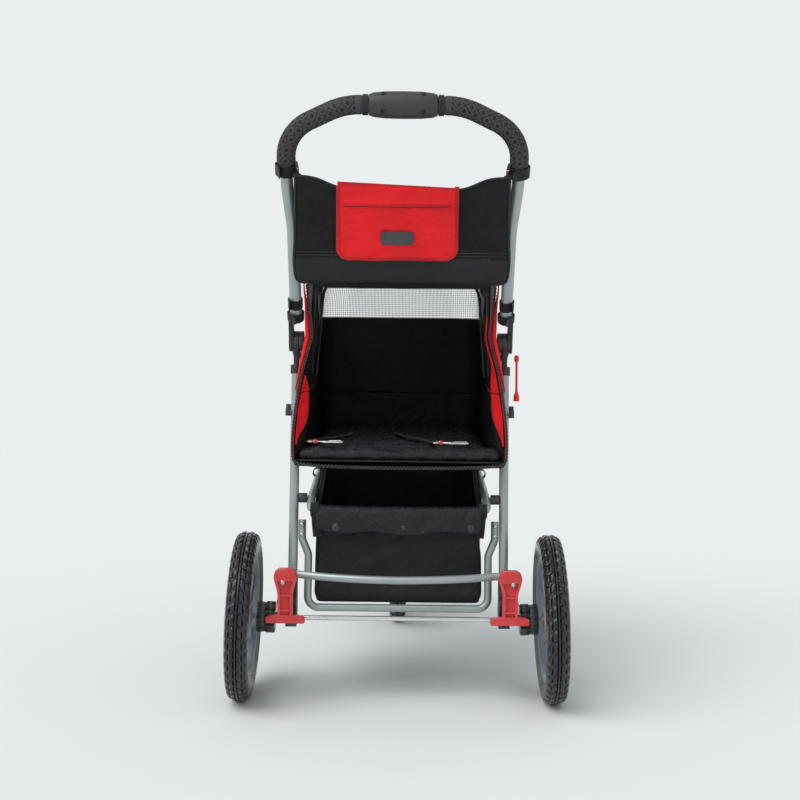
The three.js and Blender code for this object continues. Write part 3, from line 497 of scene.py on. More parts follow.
def ball(spot, radius, squash=(1, 1, 1)):
    """A rounded head, such as a rivet or a stud."""
    rings = 8
    profile = [(-radius * math.cos(math.pi * i / rings), radius * math.sin(math.pi * i / rings))
               for i in range(rings + 1)]
    verts, faces = lathe(profile, 16)
    return [tuple(s + c * q for s, c, q in zip(spot, v, squash)) for v in verts], faces


def finish_modifiers(obj):
    """Keeps a piece's modified mesh and drops the modifiers."""
    settled = bpy.data.meshes.new_from_object(obj.evaluated_get(bpy.context.evaluated_depsgraph_get()))
    obj.modifiers.clear()
    obj.data = settled


def modify(obj, kind, **settings):
    modifier = obj.modifiers.new(kind.lower(), kind)
    for key, value in settings.items():
        setattr(modifier, key, value)
    return modifier


# ------------------------------------------------------------------ carried-over CAD parts

def dress_cad(node, look, width=0.0007):
    """A CAD part keeps its mesh: its edges are eased and it takes a node material."""
    obj = frame["nodes"][node]
    obj.data.materials.clear()
    obj.data.materials.append(look)
    modify(obj, "WELD", merge_threshold=0.00002)
    modify(obj, "BEVEL", width=width, segments=2, limit_method="ANGLE", angle_limit=math.radians(28),
           harden_normals=False)
    obj.data.shade_smooth()


def dress_cad_parts():
    for side, _ in SIDES:
        for name in ("fold_knuckle", "handle_knuckle", "leg_knuckle", "axle_bracket", "carry_hook",
                     "hoop_spacer"):
            dress_cad(f"{name}_{side}", BLACK)
    for node in ("swivel_housing", "front_fork", "floor_board"):
        dress_cad(node, BLACK, 0.0012)
    dress_cad("front_axle", STEEL)


# ------------------------------------------------------------------ tubes

STRUT_RADIUS, LEG_RADIUS, HOOP_RADIUS, BRACE_RADIUS = 9.5, 8.5, 7.5, 7
HANDLE_RADIUS, AXLE_RADIUS, BOW_RADIUS = 11, 4.5, 3
FRAME_HALF = 192                        # X of the legs and of the lower handle
GRIP_HALF = 200                         # X of the grips
HOOP_HALF = 160
REAR_WHEEL_X, REAR_WHEEL_RADIUS = 279, 152.5
CAMBER = 2                              # degrees the wheel tops lean inward


def frame_tubes():
    for side, sign in SIDES:
        node = f"front_strut_{side}"
        low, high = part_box(node)
        x = sign * (max(abs(low.x), abs(high.x)) * 1000 - STRUT_RADIUS)
        path = [(x, FOLD_Y - 43.7, FOLD_Z - 19.9), (x, -520, 450), (sign * 20, -705, 410)]
        piece(node + "_tube", *rod(path, STRUT_RADIUS, 70), CHASSIS, PAINT, "root", [node])
        leg = [(sign * FRAME_HALF, 0, 48), (sign * FRAME_HALF, 0, 430)]
        piece(f"leg_tube_{side}", *rod(leg, LEG_RADIUS), LEG, PAINT, "rear_frame", [f"leg_{side}"])
    hoop = both_sides([(14, -701, 380), (HOOP_HALF, -560, 393), (HOOP_HALF, -34.2, 365), (HOOP_HALF, 0, 347)])
    piece("lower_hoop_tube", *rod(hoop, HOOP_RADIUS, [60, 20, 16, 16, 20, 60]), CHASSIS, PAINT, "root",
          ["lower_hoop"])
    brace = both_sides([(x, leg_y(z), z) for x, z in ((176, 326), (176, 292), (164, 264), (164, 169))])
    piece("rear_brace_tube", *rod(brace, BRACE_RADIUS, [18, 18, 20, 20, 18, 18]), CHASSIS, PAINT,
          "rear_frame", ["rear_brace"])

    axle = [(x, 0, REAR_WHEEL_RADIUS + (abs(x) - REAR_WHEEL_X) * math.tan(math.radians(CAMBER)))
            for x in (-289, -214, 214, 289)]
    piece("rear_axle_rod", *rod(axle, AXLE_RADIUS, 20), CHASSIS, CHROME, "rear_frame", ["rear_axle"])

    handle = both_sides([(FRAME_HALF, 0, 48), (FRAME_HALF, 0, 230), (GRIP_HALF, 0, 310),
                         (GRIP_HALF, 0, SHOULDER_Z), (SHOULDER_X, 0, HANDLE_TOP)])
    bends = [150, 150, CORNER, SHOULDER_BEND]
    piece("handle_bar", *rod(handle, HANDLE_RADIUS, bends + bends[::-1]), HANDLE, PAINT, "handle",
          ["handle_tube"])
    for name, half, crown, body in (("hood_bow_main", 166, (-195, 908), "bow_main"),
                                    ("hood_bow_front", 158.5, (-455, 800), "bow_front")):
        path = [(half, -120, 585), (half, *crown), (-half, *crown), (-half, -120, 585)]
        piece(name + "_wire", *rod(path, BOW_RADIUS, 125, 12), CHASSIS, PIPING, body, [name], slot="steel")
    rivets = [ball((sign * x, leg_y(z) + 9, z), 3.6, (1, 0.5, 1))
              for _, sign in SIDES for x, z in ((176, 318), (176, 300))]
    piece("brace_rivets", *merged(rivets), CHASSIS, STEEL, "rear_frame")


# ------------------------------------------------------------------ wheels

def soft_step(value, low, high):
    t = min(1.0, max(0.0, (value - low) / (high - low)))
    return t * t * (3 - 2 * t)


def tyre(radius, width, bead, lugs):
    """A knobbly tyre: smooth centre ridge, two rows of slanted blocks, and shoulder lugs."""
    half = width / 2
    tread_depth = 3.2
    base = radius - tread_depth
    arc = rounded_profile([(-0.62 * half, bead), (-half, bead + 0.45 * (radius - bead)),
                           (-0.86 * half, radius - 9), (-0.42 * half, base), (0, base)], [6, 9, 7], 5)
    spine = even_steps([Vector((a, b, 0)) for a, b in arc], 1.35)
    left = [(p.x, p.y) for p in spine]
    profile = left + [(-x, r) for x, r in reversed(left[:-1])]
    inner = rounded_profile([(0.62 * half, bead), (0.3 * half, bead + 4), (-0.3 * half, bead + 4),
                             (-0.62 * half, bead)], 3)
    profile += inner[1:-1] + [profile[0]]
    segments = lugs * 10

    def block(share, fill):
        return soft_step(share, 0.0, 0.1) - soft_step(share, fill, fill + 0.1)

    def tread(angle, x, r):
        across = abs(x) / half
        if r < bead + 0.5 * (radius - bead) or x == 0 and r < radius - 6:
            return r
        turn = angle * lugs / (2 * math.pi)
        height = 0.0
        if across < 0.07:
            height = 0.75
        elif across < 0.52:
            rows = soft_step(across, 0.12, 0.17) * (1 - soft_step(across, 0.47, 0.52))
            height = rows * block((turn + across * 0.9) % 1, 0.74)
        elif across < 1.01:
            rows = soft_step(across, 0.56, 0.62)
            height = rows * block((turn + 0.45) % 1, 0.62) * (1 if r > radius - 17 else 0.35)
        return r + tread_depth * height

    return lathe(profile, segments, tread)


def rim(radius, half, hub, spokes):
    """A dished rim with a lip, a hub, and flat spokes between raised ribs."""
    band = rounded_profile([(-half, radius - 9), (-half, radius + 2.5), (-half + 3, radius + 2.5),
                            (-half + 4.5, radius - 2), (half - 4.5, radius - 2), (half - 3, radius + 2.5),
                            (half, radius + 2.5), (half, radius - 9), (half - 5, radius - 12),
                            (0, radius - 15), (-half + 5, radius - 12), (-half, radius - 9)], 1.2)
    band.append(band[0])
    parts = [lathe(band, 96)]
    barrel = rounded_profile([(-half + 1, 6), (-half + 1, hub - 3), (-half + 5, hub), (half - 5, hub),
                              (half - 1, hub - 3), (half - 1, 6), (-half + 1, 6)], 1)
    barrel.append(barrel[0])
    parts.append(lathe(barrel, 48))
    reach = radius - 11
    near, far = 0.42 * hub, 0.68 * hub
    web = [(-near, 0.75 * hub), (near, 0.75 * hub), (far, reach), (-far, reach)]
    rib = 3.2
    for i in range(spokes):
        turn = Matrix.Rotation(2 * math.pi * i / spokes, 4, "X")
        pieces = [plate(web, -4.5, 4.5, 0.8)]
        for sign in (1, -1):
            edge = [(sign * near, 0.75 * hub), (sign * (near - rib), 0.75 * hub),
                    (sign * (far - rib), reach), (sign * far, reach)]
            pieces.append(plate(edge, -8.5, 8.5, 0.9))
        middle = [(-rib / 2, 0.8 * hub), (rib / 2, 0.8 * hub), (rib / 2, reach), (-rib / 2, reach)]
        pieces.append(plate(middle, -6.5, 6.5, 0.8))
        parts.extend(moved(part, turn) for part in pieces)
    return merged(parts)


def rear_hub():
    """The inboard hub: a smooth-sided drum next to the wheel, then the deeply lobed brake ring."""
    def lobes(count, depth):
        return lambda angle, x, r: r - depth * (0.5 - 0.5 * math.cos(count * angle)) ** 1.6 if r > 20 else r

    ring = lathe([(-58, 4.8), (-58, 22), (-57, 27.4), (-55, 29), (-42, 29), (-40.5, 28), (-40, 4.8),
                  (-58, 4.8)], 144, lobes(12, 4.6))
    drum = lathe([(-40, 4.8), (-40, 25.5), (-39, 26.8), (-27, 28), (-24, 27), (-23, 4.8), (-40, 4.8)], 144,
                 lobes(14, 1.6))
    boss = lathe([(-60.5, 4.9), (-60.5, 9), (-58, 10), (-58, 4.9), (-60.5, 4.9)], 32)
    return merged([ring, drum, boss])


def wheels():
    tread = tyre(REAR_WHEEL_RADIUS, 43, 114.3, 44)
    dish = rim(111.5, 16, 24, 6)
    hub = rear_hub()
    for side, sign in SIDES:
        place = wheel_place(f"rear_spin_{side}")
        body = f"rear_wheel_{side}"
        piece(f"rear_tread_{side}", *tread, place, TYRE, body, [f"rear_tyre_{side}"], 50)
        piece(f"rear_wheel_rim_{side}", *dish, place, GREY, body, [f"rear_rim_{side}"])
        piece(f"rear_hub_drum_{side}", *sided(hub, sign), place, GLOSS, body, [f"rear_hub_{side}"])
    place = wheel_place("front_spin")
    piece("front_tread", *tyre(127.5, 38, 92.3, 37), place, TYRE, "front_wheel", ["front_tyre"], 50)
    piece("front_wheel_rim", *rim(89.5, 14, 19, 6), place, GREY, "front_wheel", ["front_rim"])


# ------------------------------------------------------------------ handle

GRIP_START = 331                        # along the handle from the fold joint
GRIP_END = 69                           # X where the rubber meets the ring band
GRIP_RADIUS = 16.5
CORNER, SHOULDER_BEND = 75, 118         # bend radii of the handle
SHOULDER_X = 100                        # the tube slopes down from here to the sides
SHOULDER_Z = HANDLE_TOP - 50


def grip(sign):
    """Rubber grip with diamond grooves, a small ring in each diamond, and a smooth collar at its end. The
    faces down in the grooves and rings take a darker rubber as painted shade.
    """
    step = 1.15
    path = filleted([(sign * GRIP_HALF, 0, GRIP_START), (sign * GRIP_HALF, 0, SHOULDER_Z),
                     (sign * SHOULDER_X, 0, HANDLE_TOP), (sign * GRIP_END, 0, HANDLE_TOP)],
                    [CORNER, SHOULDER_BEND], math.radians(3))
    path = even_steps(path, step)
    sides = 64
    diamond = 21                        # length of one diamond along the grip
    around = 5                          # diamonds round the grip
    collar = 10
    in_shaded_groove = []

    def section(i, share):
        run = share * step * (len(path) - 1)
        from_end = step * (len(path) - 1) - run
        plain = 1 - soft_step(run, 2, 5) * soft_step(from_end, collar, collar + 2)
        ring = []
        for k in range(sides):
            angle = 2 * math.pi * k / sides
            u = run / diamond + angle * around / (2 * math.pi)
            v = run / diamond - angle * around / (2 * math.pi)
            from_groove = min(abs(u - round(u)), abs(v - round(v)))
            from_middle = math.hypot(abs(u % 1 - 0.5), abs(v % 1 - 0.5))
            groove = 1.1 * (1 - soft_step(from_groove, 0.015, 0.055))
            dot = 1.3 * (1 - soft_step(abs(from_middle - 0.15), 0.035, 0.08))
            radius = GRIP_RADIUS - (1 - plain) * (groove + dot) - 0.2
            if run < 1.2 or from_end < 1.2:
                radius -= 1.0
            # faces deep in a groove or ring are marked for the painted-shade rubber
            in_shaded_groove.append(plain < 0.5 and max(groove, dot) > 0.55)
            ring.append((radius * math.cos(angle), radius * math.sin(angle)))
        return ring

    verts, faces = sweep(path, section, first_side=(0, 1, 0))
    looks = [1 if len(f) == 4 and sum(in_shaded_groove[i] for i in f) > 1 else 0 for f in faces]
    return verts, faces, looks


CONSOLE = (HANDLE @ Matrix.Translation((0, 0, HANDLE_TOP)) @ Matrix.Rotation(math.radians(35), 4, "X")
           @ Matrix.Translation((0, 0, -HANDLE_TOP)))


def console_shell(sign):
    """Half of the barrel, from the split line round to the other split line."""
    profile = rounded_profile([(-58.5, 12), (-58.5, 17.4), (-50, 20.5), (-30, 22.5), (0, 23), (30, 22.5),
                               (50, 20.5), (58.5, 17.4), (58.5, 12)], 3)
    steps = 32
    verts, faces = [], []
    rows = len(profile)
    for k in range(steps + 1):
        angle = math.pi * k / steps
        edge = 1 - 0.035 * (1 - soft_step(min(k, steps - k), 0, 2))
        for x, r in profile:
            radius = r * edge if r > 13 else 12
            verts.append((x, sign * max(0.25, radius * math.sin(angle)),
                          HANDLE_TOP + radius * math.cos(angle)))
    for k in range(steps):
        a, b = k * rows, (k + 1) * rows
        for i in range(rows - 1):
            faces.append((a + i, a + i + 1, b + i + 1, b + i))
        faces.append((a, b, b + rows - 1, a + rows - 1))
    faces.append(tuple(range(rows)))
    faces.append(tuple(reversed(range(steps * rows, (steps + 1) * rows))))
    return verts, faces


def handle_parts():
    for side, sign in SIDES:
        verts, faces, looks = grip(sign)
        piece(f"grip_sleeve_{side}", verts, faces, HANDLE, [RUBBER, RUBBER_GROOVE_SHADE], "handle", [f"grip_{side}"],
              60, looks)
        ribs = []
        for i in range(6):
            x = 59.2 + 1.6 * i
            ribs += [(x, 17.0), (x + 0.35, 18.0), (x + 1.05, 18.0), (x + 1.4, 17.0)]
        band = [(59, 11.9), (59, 16.2)] + ribs + [(69, 16.2), (69, 11.9), (59, 11.9)]
        ring = moved(lathe(band, 48), Matrix.Translation((0, 0, HANDLE_TOP)))
        piece(f"ribbed_ring_{side}", *sided(ring, sign), HANDLE, BLACK, "handle", [f"grip_ring_{side}"])
    piece("console_rear", *console_shell(1), CONSOLE, CHARCOAL, "handle", ["console_rear_shell"])
    piece("console_front", *console_shell(-1), CONSOLE, CHARCOAL, "handle", ["console_front_shell"])
    screws = [(x, z) for z in (15.5, -15.5) for x in (33, -33)]
    shade_cups = []
    for i, (x, z) in enumerate(screws):
        face = math.sqrt(22.3 ** 2 - z ** 2)
        tilt = math.atan2(z, face)
        seat = (Matrix.Translation((x, 0, HANDLE_TOP)) @ Matrix.Rotation(tilt, 4, "X")
                @ Matrix.Translation((0, 22.4, 0)) @ Matrix.Rotation(math.pi / 2, 4, "Z"))
        # painted shade: a near-black ring round each screw, raised a little off the shell, stands for the
        # dark recess the screw sits in
        cup = [(-2.0, 3.1), (0.1, 3.4), (0.5, 4.0), (0.3, 4.7), (-1.5, 4.9), (-2.0, 3.1)]
        shade_cups.append(moved(lathe(cup, 24), seat))
        head = lathe([(-2.0, 0), (-2.0, 2.9), (-0.9, 2.9), (-0.35, 2.0), (-0.2, 0)], 20)
        cross = [plate([(-1.9, -0.35), (1.9, -0.35), (1.9, 0.35), (-1.9, 0.35)], -0.5, -0.12, 0.05),
                 plate([(-0.35, -1.9), (0.35, -1.9), (0.35, 1.9), (-0.35, 1.9)], -0.5, -0.12, 0.05)]
        node = f"console_screw_{i + 1}"
        piece(node + "_head", *moved(merged([head] + cross), seat), CONSOLE, RECESS_SHADE, "handle", [node],
              slot="steel")
    piece("console_screw_cups", *merged(shade_cups), CONSOLE, RECESS_SHADE, "handle")


# ------------------------------------------------------------------ brake and latch

PEDAL_X = 201
PEDAL_FRONT = 37                        # Y of the pedals' front face
FOOT_Z, HEAD_Z = 150, 249               # lowest and highest point of a pedal


def pedal_half_width(z):
    """Half width of the pedal's upright at a height: narrow waist, wider head under a dome."""
    share = (z - FOOT_Z - 13) / (HEAD_Z - FOOT_Z - 13)
    body = 13 + 7 * soft_step(share, 0.45, 0.85)
    dome = math.sqrt(max(0.0, 1 - max(0.0, (z - (HEAD_Z - 12)) / 12.5) ** 2))
    return body * (0.35 + 0.65 * dome) if z > HEAD_Z - 12 else body


def brake_pedal(sign):
    heights = [FOOT_Z + 10 + (HEAD_Z - FOOT_Z - 10) * i / 26 for i in range(27)]
    right = [(pedal_half_width(z), z) for z in heights]
    outline = right + [(-x, z) for x, z in reversed(right)]
    parts = [plate(outline, PEDAL_FRONT, PEDAL_FRONT + 5.5, 0.8, "xz")]
    rail = [Vector((x - 1.8, PEDAL_FRONT + 6.3, z)) for x, z in right[:-4]]
    for flip in (1, -1):
        path = [Vector((flip * p.x, p.y, p.z)) for p in rail]
        parts.append(sweep(path, flat_section(3.6, 12.4), (1, 0, 0)))
    head = [(x, z) for x, z in outline if z > HEAD_Z - 27]
    parts.append(plate(head, PEDAL_FRONT, PEDAL_FRONT + 12.6, 1.6, "xz"))
    for z in (FOOT_Z + 23, FOOT_Z + 50):
        wide = pedal_half_width(z) - 2
        rib = [(-wide, z - 1.6), (wide, z - 1.6), (wide, z + 1.6), (-wide, z + 1.6)]
        parts.append(plate(rib, PEDAL_FRONT + 4, PEDAL_FRONT + 11.6, 0.7, "xz"))
    foot = [(-35, FOOT_Z + 2), (-33, FOOT_Z), (33, FOOT_Z), (35, FOOT_Z + 2), (35, FOOT_Z + 10),
            (30, FOOT_Z + 13), (14, FOOT_Z + 15), (-14, FOOT_Z + 15), (-30, FOOT_Z + 13),
            (-35, FOOT_Z + 10)]
    parts.append(plate(foot, PEDAL_FRONT, PEDAL_FRONT + 12.4, 1.4, "xz"))
    parts.append(rod([(3.5, 32, 186), (13, 32, 186)], 6.4))
    parts.append(plate([(3.5, 181), (13, 181), (13, 191), (3.5, 191)], 31, PEDAL_FRONT + 2, 0.6, "xz"))
    return moved(sided(merged(parts), sign), Matrix.Translation((sign * PEDAL_X, 0, 0)))


def coil(spot, radius, wire, turns, pitch):
    """A small spring wound along X."""
    steps = 14 * turns
    path = [Vector((spot[0] + pitch * i / 14, spot[1] + radius * math.cos(2 * math.pi * i / 14),
                    spot[2] + radius * math.sin(2 * math.pi * i / 14))) for i in range(steps + 1)]
    return sweep(path, round_section(wire, 8))


def brake_and_latch():
    rivets, springs = [], []
    for side, sign in SIDES:
        piece(f"pedal_{side}", *brake_pedal(sign), CHASSIS, RED, "brake",
              [f"brake_pedal_{side}"])
        rivets.append(ball((sign * (PEDAL_X + 5), PEDAL_FRONT + 12.2, HEAD_Z - 25), 4.2, (1, 0.45, 1)))
        start = PEDAL_X - 16 if sign > 0 else -PEDAL_X + 2
        springs.append(coil((start, 24, 155), 5.2, 0.9, 7, 2.0))
    piece("pedal_rivets", *merged(rivets), CHASSIS, STEEL, "brake")
    piece("brake_springs", *merged(springs), CHASSIS, STEEL, "rear_frame")

    bow = 30                            # the bar bows out this far behind the pedals
    half = [(207, 28.5, 235)]
    half += [(174 - 174 * t, 28.5 + bow * (1 - (1 - t) ** 2.6), 235 - 3 * t) for t in np.linspace(0, 1, 24)]
    path = half + [(-x, y, z) for x, y, z in reversed(half[:-1])]
    piece("brake_foot_bar", *rod(even_steps(path, 7), 7), CHASSIS, PAINT, "brake", ["brake_bar"])

    profile = rounded_profile([(22, 0), (22, 3), (25, 4.6), (32, 4.4), (35, 2.2), (88, 2.2), (97, 5.2),
                               (107, 5.6), (107, 0)], 1.4)
    fluted = lathe([(x, max(r, 0)) for x, r in profile], 48,
                   lambda angle, x, r: r * (1 - 0.06 * (0.5 + 0.5 * math.cos(8 * angle))) if x < 40 else r)
    upright = Matrix.Translation((-214.5, 0, 0)) @ Matrix.Rotation(-math.pi / 2, 4, "Y")
    piece("latch_lever", *moved(fluted, upright), LEG, RED, "fold_latch", ["fold_latch_lever"])

    profile = rounded_profile([(12, 0), (12, 3), (23, 3), (23, 12), (26, 14), (35, 14), (38, 11), (38, 0)],
                              1.2)
    knob = lathe([(x, max(r, 0)) for x, r in profile], 96,
                 lambda angle, x, r: r - 0.9 * (0.5 + 0.5 * math.cos(16 * angle)) if r > 10.5 else r)
    place = CHASSIS @ Matrix.Translation((0, -715, 375)) @ Matrix.Rotation(-math.pi / 2, 4, "Z")
    piece("swivel_knob", *knob, place, RED, "swivel_lock", ["swivel_lock_knob"])


# ------------------------------------------------------------------ soft shells

def plan_ring(half, front, rear, corner, across=60, deep=20, round_steps=6):
    """Points round a rounded rectangle in plan, from the rear-right corner counter-clockwise."""
    corner = min(corner, half - 1, (rear - front) / 2 - 1)
    centres = [(half - corner, rear - corner, 0), (-half + corner, rear - corner, 90),
               (-half + corner, front + corner, 180), (half - corner, front + corner, 270)]
    counts = [across, deep, across, deep]
    ring = []
    for k, (cx, cy, start) in enumerate(centres):
        for i in range(round_steps + 1):
            angle = math.radians(start + 90 * i / round_steps)
            ring.append((cx + corner * math.cos(angle), cy + corner * math.sin(angle)))
        nx, ny, begin = centres[(k + 1) % 4]
        angle = math.radians(begin)
        goal = (nx + corner * math.cos(angle), ny + corner * math.sin(angle))
        here = ring[-1]
        for i in range(1, counts[k]):
            ring.append((here[0] + (goal[0] - here[0]) * i / counts[k],
                         here[1] + (goal[1] - here[1]) * i / counts[k]))
    return ring


def open_shell(floor, top, plan, rows, settle):
    """A sewn shell with an open top. plan(t) gives its outline at share t of the height, top(x, y) its rim.

    settle(point) moves each point to where the slack cloth rests."""
    closing = (0.985, 0.93, 0.82, 0.62, 0.36, 0.12)     # the floor's rings, inward
    verts, faces = [], []
    width = len(plan_ring(*plan(1.0)))
    levels = [(1 - i / rows) for i in range(rows + 1)]
    for t in levels:
        for x, y in plan_ring(*plan(t)):
            verts.append(settle((x, y, floor + (top(x, y) - floor) * t)))
    _, front, rear, _ = plan(0.0)
    middle = (front + rear) / 2
    for share in closing:
        for x, y in plan_ring(*plan(0.0)):
            verts.append(settle((x * share, middle + (y - middle) * share, floor)))
    rings = len(levels) + len(closing)
    for i in range(rings - 1):
        for k in range(width):
            n = (k + 1) % width
            faces.append((i * width + k, i * width + n, (i + 1) * width + n, (i + 1) * width + k))
    faces.append(tuple(range((rings - 1) * width, rings * width)))
    return verts, faces


def ripple(spot, scale, seed):
    return noise.noise(Vector(spot) * scale + Vector((seed, seed * 1.7, seed * 0.3)))


def settle_cloth(obj, thickness, offset):
    """Gives a single sheet its cloth thickness and a smooth surface."""
    modify(obj, "SOLIDIFY", thickness=thickness, offset=offset)
    modify(obj, "SUBSURF", levels=1, render_levels=1)
    finish_modifiers(obj)
    obj.data.shade_smooth()


# ------------------------------------------------------------------ organiser bag

BAG_FLOOR = 119
BAG_HALF = 180
BAG_RIM = 322                           # middle of the rear rim
BAG_FRONT_RIM = 280
SEAM_Z = 190                            # seam between the two cloths


def bag_top(x, y):
    rear = BAG_RIM + 22 * soft_step(abs(x), 95, 165)
    return BAG_FRONT_RIM + (rear - BAG_FRONT_RIM) * soft_step(y, -34, 24)


def bag_plan(t):
    low = 1 - soft_step(t, 0.0, 0.16)
    bulge = math.exp(-((t - 0.25) / 0.14) ** 2)
    half = BAG_HALF - 26 * low ** 2 - 4.5 * soft_step(t, 0.25, 1.0) + 2.5 * bulge
    front = -47 + 20 * low ** 2
    rear = 33 - 20 * low ** 2 - 1.5 * soft_step(t, 0.3, 1.0) + 3 * bulge
    return half, front, rear, 14 - 5 * t


def bag_settle(p):
    """Soft hollows between the stiff sides, and a tuck above the lower seam."""
    x, y, z = p
    x += math.copysign(11 * soft_step(y, 12.5, 22) * soft_step(abs(x), 140, 176), x)
    inner = 1 - soft_step(abs(x), 130, 178)
    sway = 2.6 * ripple((x, y * 0.4, z), 0.012, 3.1) + 1.0 * ripple((x, y, z), 0.035, 7.7)
    seam = -2.2 * math.exp(-((z - SEAM_Z) / 3.0) ** 2)
    if abs(y) > 10:
        outward = 1 if y > 0 else -1
        return x, y + outward * (inner * sway - 0.6 * inner + seam), z
    return x + (1 if x > 0 else -1) * (0.5 * sway + 0.4 * seam), y, z


def organiser():
    verts, faces = open_shell(BAG_FLOOR, bag_top, bag_plan, 52, bag_settle)
    looks = [1 if sum(verts[i][2] for i in f) / len(f) < SEAM_Z else 0 for f in faces]
    bag = piece("organiser", verts, faces, HANDLE, [NEOPRENE, NEOPRENE_LOW], "handle", ["organiser_bag"],
                face_looks=looks)
    settle_cloth(bag, 0.003, -1.0)

    def rim(height_from_top, out):
        ring = plan_ring(*bag_plan(1.0))
        path = [Vector(bag_settle((x, y, bag_top(x, y) - height_from_top))) for x, y in ring]
        return sweep(path, round_section(out, 10), closed=True, caps=False)

    trims = [rim(0.5, 2.0)]
    for sign in (1, -1):
        edge = []
        for t in np.linspace(1.0, 0.06, 40):
            half, _, rear, corner = bag_plan(t)
            x, y = sign * (half - corner * 0.3), rear - corner * 0.3
            x, y, z = bag_settle((x, y, BAG_FLOOR + (bag_top(x, y) - BAG_FLOOR) * t))
            edge.append(Vector((x, y + 0.8, z)))
        trims.append(sweep(edge, round_section(1.9, 10)))
    piece("organiser_piping", *merged(trims), HANDLE, PIPING, "handle")
    stitches = []
    for z in (SEAM_Z + 5.5, SEAM_Z + 11.5):
        t = (z - BAG_FLOOR) / (bag_top(0, 30) - BAG_FLOOR)
        half, _, rear, corner = bag_plan(t)
        for i in range(94):
            x = -half + 8 + (2 * half - 16) * i / 93
            x, y, level = bag_settle((x, rear, z))
            stitches.append(rod([(x - 1.3, y + 0.35, level), (x + 1.3, y + 0.35, level)], 0.55, sides=6))
    piece("organiser_topstitch", *merged(stitches), HANDLE, THREAD, "handle")
    tab = [(150, 6, BAG_FLOOR + 4), (152, 12, BAG_FLOOR - 6), (153, 8, BAG_FLOOR - 16),
           (150, -6, BAG_FLOOR - 12), (148, -10, BAG_FLOOR)]
    loops = strap(tab, 12, 1.8, (1, 0, 0))
    piece("organiser_loops", *merged([loops, mirrored(loops)]), HANDLE, WEBBING, "handle")


FLAP_HALF = 105
FLAP_TOP = 329
FLAP_BOTTOM = 193
FLAP_CORNER = 20
FLAP_TILT = 5                           # its top edge rises this much toward the left
FLAP_SHIFT = 8                          # the flap sits a little to the left of the middle
FLAP_PLACE = HANDLE @ Matrix.Translation((FLAP_SHIFT, 0, 0))
TUCK_Z = FLAP_TOP - 34                  # welt of the flap's pocket


def flap_surface(x, z):
    """Y of the flap over the bag: it rolls over the top edge, buckles a little, and lifts at its foot."""
    down = max(0.0, (FLAP_TOP - z) / (FLAP_TOP - FLAP_BOTTOM))
    roll = -5 * (1 - soft_step(down, -0.04, 0.03))
    buckle = (2.4 * ripple((x, 0, z), 0.02, 12.5) + 1.5 * ripple((x, 0, z * 1.6), 0.05, 2.2)
              + 0.7 * ripple((x * 0.7, 0, z * 2), 0.11, 5.1))
    inside = 1 - soft_step(abs(x), 90, 97)
    ridge = 2.4 * math.exp(-((z - TUCK_Z - 3) / 4) ** 2)
    hollow = 2.2 * math.exp(-((z - TUCK_Z + 5) / 2.5) ** 2)
    return 39 + roll + buckle + (ridge - hollow) * inside + 2.2 * soft_step(down, 0.7, 1.0)


def flap():
    columns, rows = 72, 56
    verts = []
    for j in range(rows + 1):
        down = j / rows
        level = FLAP_TOP + (FLAP_BOTTOM - FLAP_TOP) * down
        into_corner = max(0.0, FLAP_BOTTOM + FLAP_CORNER - level)
        inward = FLAP_CORNER - math.sqrt(max(0.0, FLAP_CORNER ** 2 - into_corner * into_corner))
        half = FLAP_HALF - 2 * (1 - down) - inward
        for i in range(columns + 1):
            x = half * (2 * i / columns - 1)
            z = level + FLAP_TILT * x / FLAP_HALF * (1 - down)
            verts.append((x, flap_surface(x, z), z))
    faces = grid_faces(rows + 1, columns + 1)
    cloth = piece("flap_panel", verts, faces, FLAP_PLACE, RED_NYLON, "flap", ["organiser_flap"])
    settle_cloth(cloth, 0.0022, 0.0)
    outline = filleted([(-FLAP_HALF + 2, FLAP_TOP, 0), (-FLAP_HALF, FLAP_BOTTOM, 0),
                        (FLAP_HALF, FLAP_BOTTOM, 0), (FLAP_HALF - 2, FLAP_TOP, 0)], FLAP_CORNER)
    edge = [Vector((x * 0.985, flap_surface(x, z) + 0.2, z)) for x, z, _ in even_steps(outline, 4)]
    top = [Vector((FLAP_HALF - 2 - i * 4.12, flap_surface(0, FLAP_TOP) + 0.4,
                   FLAP_TOP + 0.5 + FLAP_TILT * (1 - 2 * i / 50))) for i in range(51)]
    binding = [sweep(edge, flat_section(7.5, 3.4), (1, 0, 0)),
               sweep(top, flat_section(4.5, 3.6), (0, 0, 1))]
    piece("flap_binding", *merged(binding), FLAP_PLACE, RED_TRIM, "flap")
    slit = [Vector((x, flap_surface(x, TUCK_Z) + 0.9, TUCK_Z + 0.6 * math.sin(x / 23)))
            for x in range(-92, 93, 4)]
    piece("flap_welt", *sweep(slit, flat_section(5.0, 2.2), (0, 0, 1)), FLAP_PLACE, RED_TRIM, "flap")
    # painted shadow: a thin black strip just under the welt, standing for the shade inside the pocket's slot
    pocket_shadow_line = [p - Vector((0, 0.8, 3.1)) for p in slit]
    piece("flap_pocket_painted_shadow", *sweep(pocket_shadow_line, flat_section(1.7, 1.4), (0, 0, 1)), FLAP_PLACE, PIPING, "flap")

    def squared(value):
        return math.copysign(abs(value) ** 0.3, value)

    patch_z = FLAP_BOTTOM + 40
    outline = [(29 * squared(math.cos(a)), patch_z + 13 * squared(math.sin(a)))
               for a in circle(48)]
    back = max(flap_surface(x, z) for x, z in outline) + 0.8
    piece("flap_patch", *plate(outline, back, back + 1.8, 0.6, "xz"), FLAP_PLACE, CHARCOAL, "flap")


# ------------------------------------------------------------------ straps on the handle

